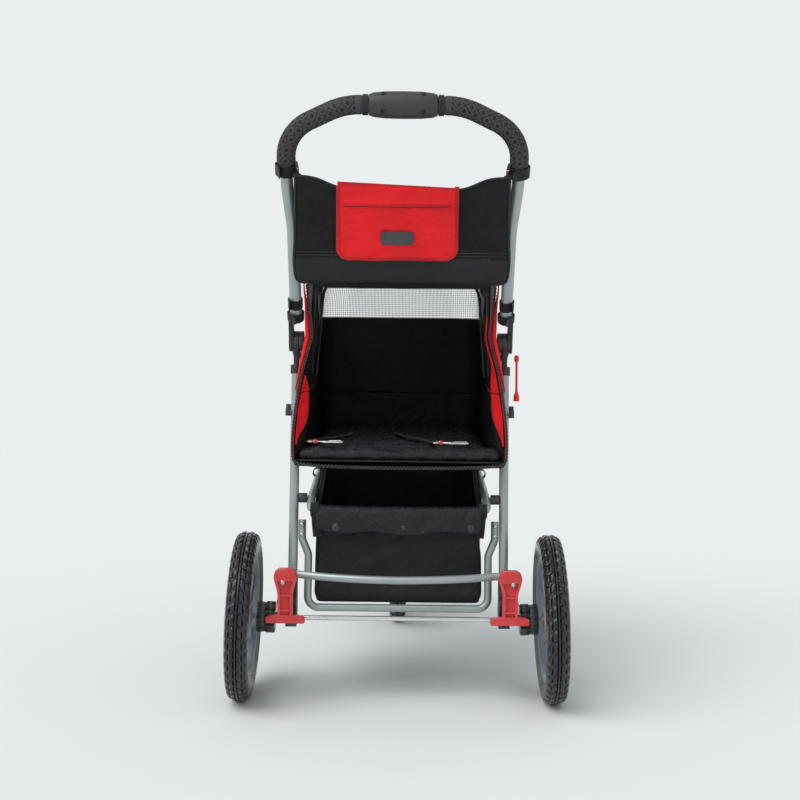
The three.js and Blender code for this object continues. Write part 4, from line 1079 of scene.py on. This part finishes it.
def wrapped(spot_z, width, radius, x, tail, turn, slack=1.0):
    """A velcro strap wound round a tube, with a pointed tail that stands off it."""
    loop = []
    for i in range(33):
        angle = turn + 2 * math.pi * 1.02 * i / 32
        r = radius + 0.9 + 1.1 * i / 32
        loop.append(Vector((x + r * math.cos(angle), r * math.sin(angle),
                            spot_z + 0.6 * math.sin(angle * 2))))
    last = loop[-1]
    away = Vector((-math.sin(turn), math.cos(turn), 0))
    out = Vector((math.cos(turn), math.sin(turn), 0))
    for i in range(1, 7):
        share = i / 6
        loop.append(last + away * tail * share + out * slack * tail * 0.35 * share ** 2)
    count = len(loop)

    def section(i, share):
        left = count - 1 - i
        narrow = 1 if left > 2 else 0.35 + 0.32 * left
        return flat_section(width * narrow, 1.7)(0, 0)

    return sweep(loop, section, (0, 0, 1))


def handle_straps():
    for side, sign in SIDES:
        parts = []
        for z, width, turn, radius in ((80, 19, 0.4, 11), (54, 15, 0.9, 13.3)):
            parts.append(sided(wrapped(z, width, radius, FRAME_HALF, 17, turn), sign))
        piece(f"velcro_straps_{side}", *merged(parts), HANDLE, WEBBING, "handle")
        loop = wrapped(343, 20, GRIP_RADIUS + 0.6, GRIP_HALF, 20, 0.5 if sign > 0 else 1.2, 0.6)
        lace = strap([(183, 3, 324), (180.5, 8, 333), (181, 7, 345), (184, 1, 357)], 18, 1.9, (0, 1, 0))
        piece(f"bag_strap_loop_{side}", *sided(merged([loop, lace]), sign), HANDLE, WEBBING, "handle",
              [f"bag_strap_{side}"])
        ring = [(181 - 5 * math.cos(a) * 0.5, 11 + 1.2 * math.sin(a), 342 + 7 * math.sin(a))
                for a in circle(20)]
        buckle = sweep([Vector(p) for p in ring], round_section(1.1, 8), closed=True, caps=False)
        piece(f"strap_ring_{side}", *sided(buckle, sign), HANDLE, STEEL, "handle")


# ------------------------------------------------------------------ cabin

CABIN_FLOOR = 428
CABIN_HALF = 176
CABIN_FRONT = -500
CORNER_R = 60
SIDE_SPRING, FRONT_SPRING, CROWN = 770, 684, 944
RIDGE_FRONT = -330
WALL_SHARE = 0.6                        # share of the rows that climb the upright wall
TUB_TOP = 560
MOUTH_EDGE = ((428, 7), (560, -9), (745, -62), (775, -95), (1000, -95))       # (z, y) of the rear edge
MOUTH_HALF = ((428, 195), (470, 197), (512, 194), (550, 189), (600, 181), (635, 171), (661, 164),
              (700, 169), (745, 176), (1000, 176))                            # (z, half width)
SIDE_U, CORNER_U = 0.34, 0.06           # shares of the outline taken by each side and corner


def along(table, value):
    return float(np.interp(value, [a for a, _ in table], [b for _, b in table]))


def cabin_plan(u, z):
    """Outline point at share u, from the left rear edge round the front to the right rear edge."""
    flip = 1 if u <= 0.5 else -1
    u = min(u, 1 - u)
    if u < SIDE_U:
        share = u / SIDE_U
        rear = along(MOUTH_EDGE, z)
        y = rear + (CABIN_FRONT + CORNER_R - rear) * share
        flare = 1 - soft_step(rear - y, 3, 34)
        return flip * (CABIN_HALF + (along(MOUTH_HALF, z) - CABIN_HALF) * flare), y
    if u < SIDE_U + CORNER_U:
        angle = math.pi / 2 * (u - SIDE_U) / CORNER_U
        return (flip * (CABIN_HALF - CORNER_R + CORNER_R * math.cos(angle)),
                CABIN_FRONT + CORNER_R - CORNER_R * math.sin(angle))
    share = (u - SIDE_U - CORNER_U) / (0.5 - SIDE_U - CORNER_U)
    return flip * (CABIN_HALF - CORNER_R) * (1 - share), CABIN_FRONT


def cabin_spot(u, v, inset=0.0):
    """A point of the cabin's cloth: up the wall, then over to the ridge. inset moves it inward."""
    fold = min(u, 1 - u)
    frontness = soft_step(fold, SIDE_U - 0.12, SIDE_U - 0.03)
    spring = SIDE_SPRING + (FRONT_SPRING - SIDE_SPRING) * frontness
    if v <= WALL_SHARE:
        z = CABIN_FLOOR + (spring - CABIN_FLOOR) * v / WALL_SHARE
        x, y = cabin_plan(u, z)
    else:
        turn = math.pi / 2 * (v - WALL_SHARE) / (1 - WALL_SHARE)
        out, up = math.cos(turn) ** 0.88, math.sin(turn) ** 0.94
        z = spring + (CROWN - spring) * up
        px, py = cabin_plan(u, z)
        rear = along(MOUTH_EDGE, z)
        share = min(1.0, fold / SIDE_U)
        ridge = rear + (RIDGE_FRONT - rear) * share
        x, y = px * out, ridge + (py - ridge) * out
    bow = 5.0 * math.exp(-((y + 200) / 36) ** 2) * soft_step(z, 600, 760)
    slack = 3.4 * ripple((x, y, z), 0.011, 4.0) + 1.4 * ripple((x * 0.6, y, z * 0.6), 0.03, 9.0)
    hold = soft_step(min(u, 1 - u), 0.0, 0.05) * soft_step(v, 0.0, 0.06)
    pull = -4.0 + (bow * 0.5 + slack - 2.0) * hold - inset
    if v <= WALL_SHARE:
        side = soft_step(fold, SIDE_U, SIDE_U + CORNER_U)
        return (x + (1 if x > 0 else -1) * pull * (1 - side) * 0.8, y - pull * side * 0.8, z)
    nx, ny, nz = x / CABIN_HALF, (y + 260) / 260 * frontness, (z - spring) / (CROWN - spring)
    size = math.sqrt(nx * nx + ny * ny + nz * nz) or 1
    return x + nx / size * pull, y + ny / size * pull, z + nz / size * pull


# Spans in shares of the outline (u) and of the climb to the ridge (v), on the lines of the cloth's grid
GRID_U, GRID_V = 120, 60
WINDOW_U = (37 / GRID_U, 83 / GRID_U)
WINDOW_V = (0.6, 0.9)
SIDE_WINDOW_U = (23 / GRID_U, 33 / GRID_U)
SIDE_WINDOW_V = (22 / GRID_V, 34 / GRID_V)
RED_U, RED_FOOT_V, RED_TOP_V = 16 / GRID_U, 0.02, 34 / GRID_V
# The row where the tub meets the hood, near TUB_TOP
TUB_ROW = round(WALL_SHARE * (TUB_TOP - CABIN_FLOOR) / (SIDE_SPRING - CABIN_FLOOR) * GRID_V) / GRID_V


def in_window(u, v):
    return WINDOW_U[0] < u < WINDOW_U[1] and WINDOW_V[0] < v < WINDOW_V[1]


def red_side(u, v):
    """The red panel on each side, from the mouth forward."""
    return min(u, 1 - u) < RED_U and RED_FOOT_V < v < RED_TOP_V


def side_window(u, v):
    fold = min(u, 1 - u)
    return SIDE_WINDOW_U[0] < fold < SIDE_WINDOW_U[1] and SIDE_WINDOW_V[0] < v < SIDE_WINDOW_V[1]


def cabin_grid(us, vs, keep, looks_of, inset=0.0):
    """The cabin's cloth between lines of u and v, where keep(u, v) is true, with a look for each face."""
    verts = [cabin_spot(u, v, inset) for v in vs for u in us]
    faces, looks = [], []
    for j in range(len(vs) - 1):
        for i in range(len(us) - 1):
            u, v = (us[i] + us[i + 1]) / 2, (vs[j] + vs[j + 1]) / 2
            if keep(u, v):
                a = j * len(us) + i
                faces.append((a, a + 1, a + len(us) + 1, a + len(us)))
                looks.append(looks_of(u, v))
    used = sorted({i for f in faces for i in f})
    index = {old: new for new, old in enumerate(used)}
    return [verts[i] for i in used], [tuple(index[i] for i in f) for f in faces], looks


def cabin_cloth():
    us = [i / GRID_U for i in range(GRID_U + 1)]
    vs = [j / GRID_V for j in range(GRID_V + 1)]

    def whole(u, v):
        return not in_window(u, v) and not side_window(u, v)

    def paint(u, v):
        return 1 if red_side(u, v) else 0

    for name, rows, node in (("cabin_lower_cloth", [v for v in vs if v <= TUB_ROW + 1e-9], "cabin_tub"),
                             ("hood_cloth", [v for v in vs if v >= TUB_ROW - 1e-9], "cabin_hood")):
        verts, faces, looks = cabin_grid(us, rows, whole, paint)
        if name == "cabin_lower_cloth":
            verts, faces, looks = with_floor(verts, faces, looks, len(us))
        verts, faces, looks = drop_doubles(verts, faces, looks)
        cloth = piece(name, verts, faces, CHASSIS, [NYLON, RED_NYLON, NYLON], "root", [node],
                      face_looks=looks)
        modify(cloth, "SOLIDIFY", thickness=0.0026, offset=-1, material_offset=2, material_offset_rim=0)
        modify(cloth, "SUBSURF", levels=1, render_levels=1)
        finish_modifiers(cloth)
        cloth.data.shade_smooth()
        if node == "cabin_hood":
            crumple(cloth)


def crumple(obj):
    """Gives a piece of the hood its own copy of its mesh."""
    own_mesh(obj)


def with_floor(verts, faces, looks, width):
    """Closes the tub's underside with a floor sheet."""
    start = len(verts)
    ring = [verts[i] for i in range(width)]
    steps = 10
    for k in range(1, steps + 1):
        share = 1 - k / steps
        for x, y, z in ring:
            verts.append((x * share, y, z - 1.0 + 0.2 * math.sin(k)))
    for k in range(steps):
        a = 0 if k == 0 else start + (k - 1) * width
        b = start + k * width
        for i in range(width - 1):
            faces.append((a + i + 1, a + i, b + i, b + i + 1))
            looks.append(0)
    return verts, faces, looks


def drop_doubles(verts, faces, looks):
    index, spots, remap = {}, [], []
    for v in verts:
        key = tuple(round(c * 20) for c in v)
        if key not in index:
            index[key] = len(spots)
            spots.append(v)
        remap.append(index[key])
    kept, kept_looks, seen = [], [], set()
    for f, look in zip(faces, looks):
        loop = [remap[i] for i in f]
        loop = [v for i, v in enumerate(loop) if v != loop[i - 1]]
        if len(set(loop)) < 3 or len(set(loop)) != len(loop) or frozenset(loop) in seen:
            continue
        seen.add(frozenset(loop))
        kept.append(tuple(loop))
        kept_looks.append(look)
    return spots, kept, kept_looks


def netting(name, u_span, v_span, columns, rows):
    """Real mesh netting: a grid of fine square cells turned into wires."""
    us = np.linspace(*u_span, columns + 1)
    vs = np.linspace(*v_span, rows + 1)
    verts, faces, _ = cabin_grid(list(us), list(vs), lambda u, v: True, lambda u, v: 0, 0.8)
    net = piece(name, verts, faces, CHASSIS, NETTING, "root")
    modify(net, "WIREFRAME", thickness=0.0011, use_even_offset=False)
    finish_modifiers(net)
    crumple(net)


def cabin_seam(points, radius):
    """The line and radius of a piped seam in the cabin's cloth."""
    return [Vector(cabin_spot(u, v, -1.6)) for u, v in points], radius


def rim_runs(path):
    """Splits a path where it crosses the tub's top: the runs above it, then the runs below it."""
    above, below, run = [], [], [path[0]]
    for before, here in zip(path, path[1:]):
        if (before.z > TUB_TOP) != (here.z > TUB_TOP):
            cross = before.lerp(here, (TUB_TOP - before.z) / (here.z - before.z))
            (above if before.z > TUB_TOP else below).append(run + [cross])
            run = [cross]
        run.append(here)
    (above if path[-1].z > TUB_TOP else below).append(run)
    return [r for r in above if len(r) > 2], [r for r in below if len(r) > 2]


def split_trim(name, seams, sides, look):
    """Piped seams in two pieces: the runs on the hood and the runs on the tub."""
    runs = [(rim_runs(path), radius) for path, radius in seams]
    for level, part in enumerate(("upper", "lower")):
        tubes = [sweep(run, round_section(radius, sides)) for split, radius in runs for run in split[level]]
        trim = piece(f"{name}_{part}", *merged(tubes), CHASSIS, look, "root")
        if level == 0:
            crumple(trim)


def cabin_trim():
    netting("front_mesh", WINDOW_U, WINDOW_V, 140, 74)
    left_span, right_span = SIDE_WINDOW_U, (1 - SIDE_WINDOW_U[1], 1 - SIDE_WINDOW_U[0])
    for side, span in (("left", left_span), ("right", right_span)):
        netting(f"side_mesh_{side}", span, SIDE_WINDOW_V, 24, 18)

    def window_edge(us, vs):
        (u0, u1), (v0, v1) = us, vs
        steps = np.linspace(0, 1, 30)
        loop = [(u0 + (u1 - u0) * s, v0) for s in steps] + [(u1, v0 + (v1 - v0) * s) for s in steps[1:]]
        loop += [(u1 + (u0 - u1) * s, v1) for s in steps[1:]]
        loop += [(u0, v1 + (v0 - v1) * s) for s in steps[1:-1]]
        path = [Vector(cabin_spot(u, v, 0.4)) for u, v in loop]
        return sweep(path, flat_section(9, 5.2), (0, 0, 1), closed=True, caps=False)

    bound = [window_edge(WINDOW_U, WINDOW_V)]
    bound += [window_edge(span, SIDE_WINDOW_V) for span in (left_span, right_span)]
    edge = piece("window_binding", *merged(bound), CHASSIS, WEBBING, "root")
    crumple(edge)
    steps = np.linspace(0.0, 1.0, 50)
    seams = []
    for flip in (1, -1):
        def at(u):
            return u if flip > 0 else 1 - u
        seams.append(cabin_seam([(at(RED_U), RED_FOOT_V + (RED_TOP_V - RED_FOOT_V) * t) for t in steps],
                                1.9))
        seams.append(cabin_seam([(at(RED_U * t), RED_TOP_V) for t in steps[1:]], 1.9))
        seams.append(cabin_seam([(at(0.295), 0.05 + 0.9 * t) for t in steps], 1.4))
    seams.append(cabin_seam([(0.04 + 0.92 * t, 0.30) for t in steps], 1.6))
    split_trim("hood_piping", seams, 8, PIPING)
    rim = [Vector(cabin_spot(0.002 + 0.996 * t, TUB_ROW, -0.8)) for t in np.linspace(0, 1, 160)]
    piece("tub_rim_tape", *sweep(rim, flat_section(14, 4.5), (0, 0, 1)), CHASSIS, WEBBING, "root")


def smoothed(path, times=3):
    for _ in range(times):
        path = [path[0]] + [(a + b * 2 + c) / 4 for a, b, c in zip(path, path[1:], path[2:])] + [path[-1]]
    return path


GUSSET_FOOT = 466


def gusset_row(z, share, sign, bias):
    """One level of a red gusset inside the mouth, from its rear edge forward. It narrows at both ends."""
    width = 3 + 32 * math.sin(math.pi * share ** bias) ** 1.1
    rear = along(MOUTH_EDGE, z) - 2
    row = []
    for i in range(13):
        y = rear - width * i / 12
        flare = 1 - soft_step(rear + 2 - y, 3, 34)
        x = CABIN_HALF + (along(MOUTH_HALF, z) - CABIN_HALF) * flare - 8.5
        x -= 2.2 * math.sin(math.pi * i / 12) + 1.5 * ripple((x, y, z), 0.03, 5.5)
        row.append((sign * x, y, z))
    return row


def zip_and_gussets():
    """Zip round the mouth, its teeth, the red strips outside it, and the red gussets inside."""
    left = [Vector((along(MOUTH_HALF, z) - 3, along(MOUTH_EDGE, z), z)) for z in range(770, 434, -6)]
    bottom = [Vector((193 * math.cos(a), 8 + 4 * math.sin(a), 438 - 12 * math.sin(a) ** 0.7))
              for a in np.linspace(0.12, math.pi - 0.12, 50)]
    right = [Vector((-p.x, p.y, p.z)) for p in reversed(left)]
    line = even_steps(smoothed(left + bottom + right, 5), 6)
    outward = Vector((0, 1, 0))
    for level, part in enumerate(("upper", "lower")):
        tapes = [sweep(run, flat_section(11, 3.4), outward) for run in rim_runs(line)[level]]
        tape = piece(f"zip_tape_{part}", *merged(tapes), CHASSIS, WEBBING, "root")
        if level == 0:
            crumple(tape)
    teeth = {True: [], False: []}
    spots = even_steps(line, 3.2)
    frames = path_frames(spots, outward)
    for i, (spot, (tangent, side, up)) in enumerate(zip(spots, frames)):
        shift = 1.2 if i % 2 else -1.2
        base = Matrix((side.to_4d(), up.to_4d(), tangent.to_4d(), (0, 0, 0, 1))).transposed()
        base.col[3] = (*(spot + side * 5.4 + up * shift), 1)
        tooth = plate([(-0.9, -1.7), (0.9, -1.7), (1.1, 1.7), (-1.1, 1.7)], -0.95, 0.95, 0.3, "xy")
        teeth[spot.z > TUB_TOP].append(moved(tooth, base))
    crumple(piece("zip_teeth_upper", *merged(teeth[True]), CHASSIS, GLOSS, "root"))
    piece("zip_teeth_lower", *merged(teeth[False]), CHASSIS, GLOSS, "root")

    strips, gussets, pipings = [], ([], []), ([], [])
    for sign in (1, -1):
        outer = [Vector((sign * (along(MOUTH_HALF, z) + 3.2 + 1.4 * math.sin(z * 0.05)),
                         along(MOUTH_EDGE, z) - 6, z)) for z in range(760, TUB_TOP, -5)]

        def strip_section(i, share):
            return flat_section(9, 2 + 8 * math.sin(math.pi * min(1, share * 1.02)) ** 1.5)(0, 0)

        strips.append(sweep(smoothed(outer), strip_section, (0, 1, 0)))
        top, bias = (590, 0.75) if sign > 0 else (700, 1.25)
        upper_rows = max(3, round(24 * (top - TUB_TOP) / (top - GUSSET_FOOT)))
        for level, zs in enumerate((np.linspace(top, TUB_TOP, upper_rows + 1),
                                    np.linspace(TUB_TOP, GUSSET_FOOT, 25 - upper_rows))):
            rows = [gusset_row(z, (top - z) / (top - GUSSET_FOOT), sign, bias) for z in zs]
            verts = [p for row in rows for p in row]
            gussets[level].append((verts, grid_faces(len(rows), 13)))
            pipings[level].append(sweep([Vector(row[-1]) for row in rows], round_section(1.5, 8)))
    crumple(piece("red_mouth_strips", *merged(strips), CHASSIS, RED_NYLON, "root"))
    for level, part in enumerate(("upper", "lower")):
        panel = piece(f"red_gussets_{part}", *merged(gussets[level]), CHASSIS, RED_NYLON, "root")
        settle_cloth(panel, 0.0018, 0)
        edge = piece(f"gusset_piping_{part}", *merged(pipings[level]), CHASSIS, PIPING, "root")
        if level == 0:
            crumple(panel)
            crumple(edge)


def cushion_outline(inset):
    """Plan of the seat pad: rounded at the front, wider in the mouth behind the legs."""
    half, wide = 168 - inset, 191 - inset
    front, step, rear = -488 + inset, -26 + inset, 9 - inset
    path = filleted([(0, front, 0), (-half, front, 0), (-half, step, 0), (-wide, step, 0), (-wide, rear, 0),
                     (wide, rear, 0), (wide, step, 0), (half, step, 0), (half, front, 0), (0, front, 0)],
                    [52, 4, 3, 13, 13, 3, 4, 52], math.radians(12))
    return [(p.x, p.y) for p in path][:-1]


def seat_cushion():
    """Seat pad: swollen by a cloth simulation, then wrinkled, with a sewn band round its edge."""
    low, high = 432, 463
    pad = piece("seat_pad", *plate(cushion_outline(4), low, high, 11, "xy"), CHASSIS, CRINKLE, None)
    voxel = 0.005
    modify(pad, "REMESH", mode="VOXEL", voxel_size=voxel)
    finish_modifiers(pad)
    rest = np.array([v.co for v in pad.data.vertices])
    cloth = modify(pad, "CLOTH")
    cloth.settings.use_pressure = True
    cloth.settings.uniform_pressure_force = 4
    cloth.settings.effector_weights.gravity = 0
    cloth.settings.quality = 4
    cloth.point_cache.frame_start, cloth.point_cache.frame_end = 1, 20
    for step in range(1, 21):
        bpy.context.scene.frame_set(step)
    finish_modifiers(pad)
    swollen = np.array([v.co for v in pad.data.vertices])
    shift = swollen - rest
    size = np.linalg.norm(shift, axis=1, keepdims=True)
    cap = 0.003
    shift *= np.minimum(1, cap / np.maximum(size, 1e-9))
    swollen = rest + shift
    floor = (CABIN_FLOOR + 5) / 1000
    for vertex, spot in zip(pad.data.vertices, swollen):
        x, y, z = spot[0] * 1000, (spot[1] - AXLE_Y) * 1000, spot[2] * 1000
        upper = soft_step(z, 444, 458)
        crease = (5.0 * abs(ripple((x * 0.8, y, z), 0.028, 1.0))
                  + 2.6 * abs(ripple((x, y * 0.7, z), 0.075, 6.0)))
        sunk = 3.2 * math.exp(-((y + 190) / 130) ** 2 - (x / 110) ** 2)
        edge = 2.4 * ripple((x, y, z * 2), 0.06, 3.0)
        vertex.co = (spot[0], spot[1] + edge / 1000 * (1 - upper),
                     max(floor, spot[2] + (-crease - sunk + 1.2) / 1000 * upper))
    modify(pad, "SUBSURF", levels=1, render_levels=1)
    finish_modifiers(pad)
    pad.data.shade_smooth()
    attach(pad, "root")
    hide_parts("seat_cushion")

    loop = [Vector((x, y, 438 + 0.8 * math.sin(x * 0.05) + 0.6 * math.sin(y * 0.07)))
            for x, y in cushion_outline(2)]
    trim = sweep(even_steps(loop + [loop[0]], 7)[:-1], round_section(1.8, 8), closed=True, caps=False)
    piece("seat_pad_piping", *trim, CHASSIS, PIPING, "root")


def leash_clips():
    """Two snap hooks on webbing tethers that lie on the pad."""
    rest = CABIN_FLOOR + 43
    y = -14
    for side, x in (("left", 162), ("right", -66)):
        loop = [Vector((x + 6 * math.cos(a), y + 6 * math.sin(a), rest)) for a in circle(24)]
        eye = sweep(loop, round_section(1.6, 10), closed=True, caps=False)
        neck = lathe([(0, 0), (0, 2.4), (1.5, 3.4), (3, 2.2), (5, 2.2), (6.5, 3.6), (9, 3.6), (9, 0)], 20)
        neck = moved(neck, Matrix.Translation((x - 14, y, rest)))
        hook = rod([(x - 13, y, rest), (x - 26, y + 8, rest), (x - 60, y + 8, rest), (x - 60, y - 8, rest),
                    (x - 32, y - 8, rest)], 2.4, [3, 7, 7], 12)
        piece(f"leash_hook_{side}", *merged([eye, neck, hook]), CHASSIS, STEEL, f"clip_{side}",
              [f"leash_clip_{side}"])
        tip = moved(lathe([(-3.5, 0), (-3.5, 3.0), (-2, 3.9), (2, 3.9), (3.5, 3.0), (3.5, 0)], 20),
                    Matrix.Translation((x - 9, y, rest)))
        piece(f"leash_hook_sleeve_{side}", *tip, CHASSIS, RED, f"clip_{side}")
        away = 1 if side == "left" else -1
        band = [(x + 1.5, y - 4.8, rest - 0.5), (x + 6, y - 12, rest - 1.5), (x + 7, y - 34, rest - 2),
                (x - 26 * away, y - 80, rest - 2), (x - 60 * away, y - 150, rest - 3),
                (x - 70 * away, y - 235, rest - 5)]
        path = even_steps(filleted(band, [8, 12, 30, 40]), 5)
        piece(f"tether_{side}", *sweep(path, flat_section(12, 1.6), (1, 0, 0)), CHASSIS, WEBBING, "root")


# ------------------------------------------------------------------ basket

BASKET_FLOOR = 178


def basket_top(x, y):
    rise = (2 - y) / 287
    sag = 9 * (1 - (x / 150) ** 2) * max(0.0, 1 - abs(y) / 40)
    return 338 + 74 * min(1, max(0, rise)) - sag


def basket_plan(t):
    low = 1 - soft_step(t, 0.0, 0.16)
    half = 149 + 4.5 * (1 - t) - 5 * low ** 2
    return half, -283 + 14 * low ** 2, 0.5 - 9 * low ** 2, 12


def basket_settle(p):
    x, y, z = p
    t = (z - BASKET_FLOOR) / 160
    slack = 5.0 * ripple((x, y, z), 0.011, 2.0) + 1.6 * ripple((x, y, z), 0.035, 8.0)
    diagonal = (5.5 * math.exp(-(((x - 45) * 0.5 + (z - 245) * 0.86) / 15) ** 2)
                * math.exp(-((x - 45) / 60) ** 2))
    mask = soft_step(t, 0.02, 0.25) * soft_step(1.05 - t, 0.0, 0.25)
    if y > -20 and abs(x) < 146:
        return x, y + (min(0, slack - 3) + diagonal - 4.0) * mask, z
    if t < 0.03:
        return x, y, z + 1.2 * ripple((x, y, z), 0.02, 5.0)
    return x - (1 if x > 0 else -1) * max(0, slack) * mask, y, z


def basket():
    verts, faces = open_shell(BASKET_FLOOR, basket_top, basket_plan, 34, basket_settle)
    bag = piece("cargo_basket", verts, faces, CHASSIS, NYLON, "root", ["basket"])
    settle_cloth(bag, 0.0022, -1.0)

    columns = 64
    profile = [(-9.5, 326), (-10.5, 338), (-9.5, 348), (-5, 355.5), (1, 357.8), (7, 355), (10.6, 348),
               (11.8, 338), (11.6, 328), (12.4, 318), (11.8, 309)]
    rows = len(profile)
    verts = []
    for i in range(columns + 1):
        x = -150 + 300 * i / columns
        dip = 5.0 * (1 - (x / 150) ** 2)
        for j, (y, z) in enumerate(profile):
            hang = j / (rows - 1)
            wave = 2.2 * ripple((x, 0, z), 0.035, 3.3) * hang + 1.2 * ripple((x, 5, z), 0.09, 6.1) * hang
            scallop = 6 * hang ** 3 * (0.5 - 0.5 * math.cos(x * math.pi / 60.5 + 0.9))
            verts.append((x, y + wave + 0.8, z - dip * hang + scallop))
    hem = piece("basket_hem", verts, grid_faces(columns + 1, rows), CHASSIS, CRINKLE, "root")
    settle_cloth(hem, 0.0022, 0)
    studs = []
    for x in (113, -9, -129):
        studs.append(ball((x, 13.6, 319), 4.6, (1, 0.4, 1)))
        studs.append(moved(lathe([(0, 4.0), (0, 6.4), (1.3, 6.6), (1.8, 5.4), (1.2, 4.0), (0, 4.0)], 28),
                           Matrix.Translation((x, 12.2, 319)) @ Matrix.Rotation(math.pi / 2, 4, "Z")))
    piece("basket_studs", *merged(studs), CHASSIS, GLOSS, "root")
    loops = []
    for sign in (1, -1):
        ring = [Vector((sign * 152, 1 + 11.5 * math.cos(a), 349 + 12.0 * math.sin(a)))
                for a in circle(32)]
        loops.append(sweep(ring, flat_section(15, 2), (1, 0, 0), closed=True, caps=False))
        tail = [Vector((sign * 150, 10, 338)), Vector((sign * 149, 7, 322)), Vector((sign * 147, 4, 300))]
        loops.append(sweep(tail, flat_section(15, 2), (1, 0, 0)))
        ring = [Vector((sign * 160 + sign * 8.8 * math.cos(a), -230, 388 + 8.8 * math.sin(a)))
                for a in circle(32)]
        loops.append(sweep(ring, flat_section(20, 1.8), (0, 1, 0), closed=True, caps=False))
    piece("basket_loops", *merged(loops), CHASSIS, WEBBING, "root")
    rim = [Vector((x, y, basket_top(x, y) - 1)) for x, y in plan_ring(*basket_plan(1.0)) if y < -8]
    edge = piece("basket_binding", *sweep(even_steps(rim, 8), flat_section(3.4, 11), (0, 0, 1)), CHASSIS,
                 WEBBING, "root")
    for obj in (bag, edge):
        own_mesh(obj)


# ------------------------------------------------------------------ camera, light, floor and finish

BACKDROP = (0.823, 0.855, 0.863)
AMBIENT = 0.78                          # share of the backdrop's brightness that lights the object
SUN = 1.6
TO_SUN = Vector((0.62, 0.52, 1.05)).normalized()


def studio():
    """A seamless pale floor: the sun and the ambient light on it add up to the backdrop's own colour."""
    half = 40
    floor_mesh = bpy.data.meshes.new("floor")
    floor_mesh.from_pydata([(-half, -half, 0), (half, -half, 0), (half, half, 0), (-half, half, 0)], [],
                           [(0, 1, 2, 3)])
    floor = bpy.data.objects.new("floor", floor_mesh)
    bpy.context.scene.collection.objects.link(floor)
    graph = Graph("pale_floor")
    tone = tuple(channel / (AMBIENT * channel + SUN * TO_SUN.z / math.pi) for channel in BACKDROP)
    drift = graph.mix(graph.noise(3, 2.0), tint(tone, 0.995), tint(tone, 1.005))
    graph.feed(graph.shader.inputs["Base Color"], drift)
    graph.shader.inputs["Roughness"].default_value = 1.0
    graph.shader.inputs["Specular IOR Level"].default_value = 0.0
    floor_mesh.materials.append(graph.material)

    world = bpy.data.worlds.new("studio")
    bpy.context.scene.world = world
    world.use_nodes = True
    nodes, links = world.node_tree.nodes, world.node_tree.links
    background = nodes["Background"]
    background.inputs[0].default_value = (*BACKDROP, 1)
    seen = nodes.new("ShaderNodeLightPath").outputs["Is Camera Ray"]
    level = nodes.new("ShaderNodeMapRange")
    links.new(seen, level.inputs[0])
    level.inputs[3].default_value = AMBIENT
    level.inputs[4].default_value = 1.0
    links.new(level.outputs[0], background.inputs[1])

    sun = bpy.data.lights.new("sun", "SUN")
    sun.energy = SUN
    sun.angle = math.radians(50)
    sun_obj = bpy.data.objects.new("sun", sun)
    sun_obj.rotation_euler = TO_SUN.to_track_quat("Z", "Y").to_euler()
    bpy.context.scene.collection.objects.link(sun_obj)
    bpy.context.scene.view_settings.view_transform = "Standard"


def camera():
    """Behind the stroller, a little above the handle's middle, as in the photograph."""
    distance, height = 2.6, 0.74
    pitch_down, roll = math.radians(4.2), math.radians(0.65)
    lens = bpy.data.cameras.new("camera")
    lens.sensor_width = 36
    lens.lens = 65.2
    obj = bpy.data.objects.new("camera", lens)
    bpy.context.scene.collection.objects.link(obj)
    turn = Matrix.Rotation(math.pi, 4, "Z") @ Matrix.Rotation(math.pi / 2 - pitch_down, 4, "X")
    place = Matrix.Translation((0, AXLE_Y + distance, height))
    obj.matrix_world = place @ turn @ Matrix.Rotation(roll, 4, "Z")
    bpy.context.scene.camera = obj


dress_cad_parts()
frame_tubes()
wheels()
handle_parts()
brake_and_latch()
organiser()
flap()
handle_straps()
cabin_cloth()
cabin_trim()
zip_and_gussets()
seat_cushion()
leash_clips()
basket()
studio()
camera()
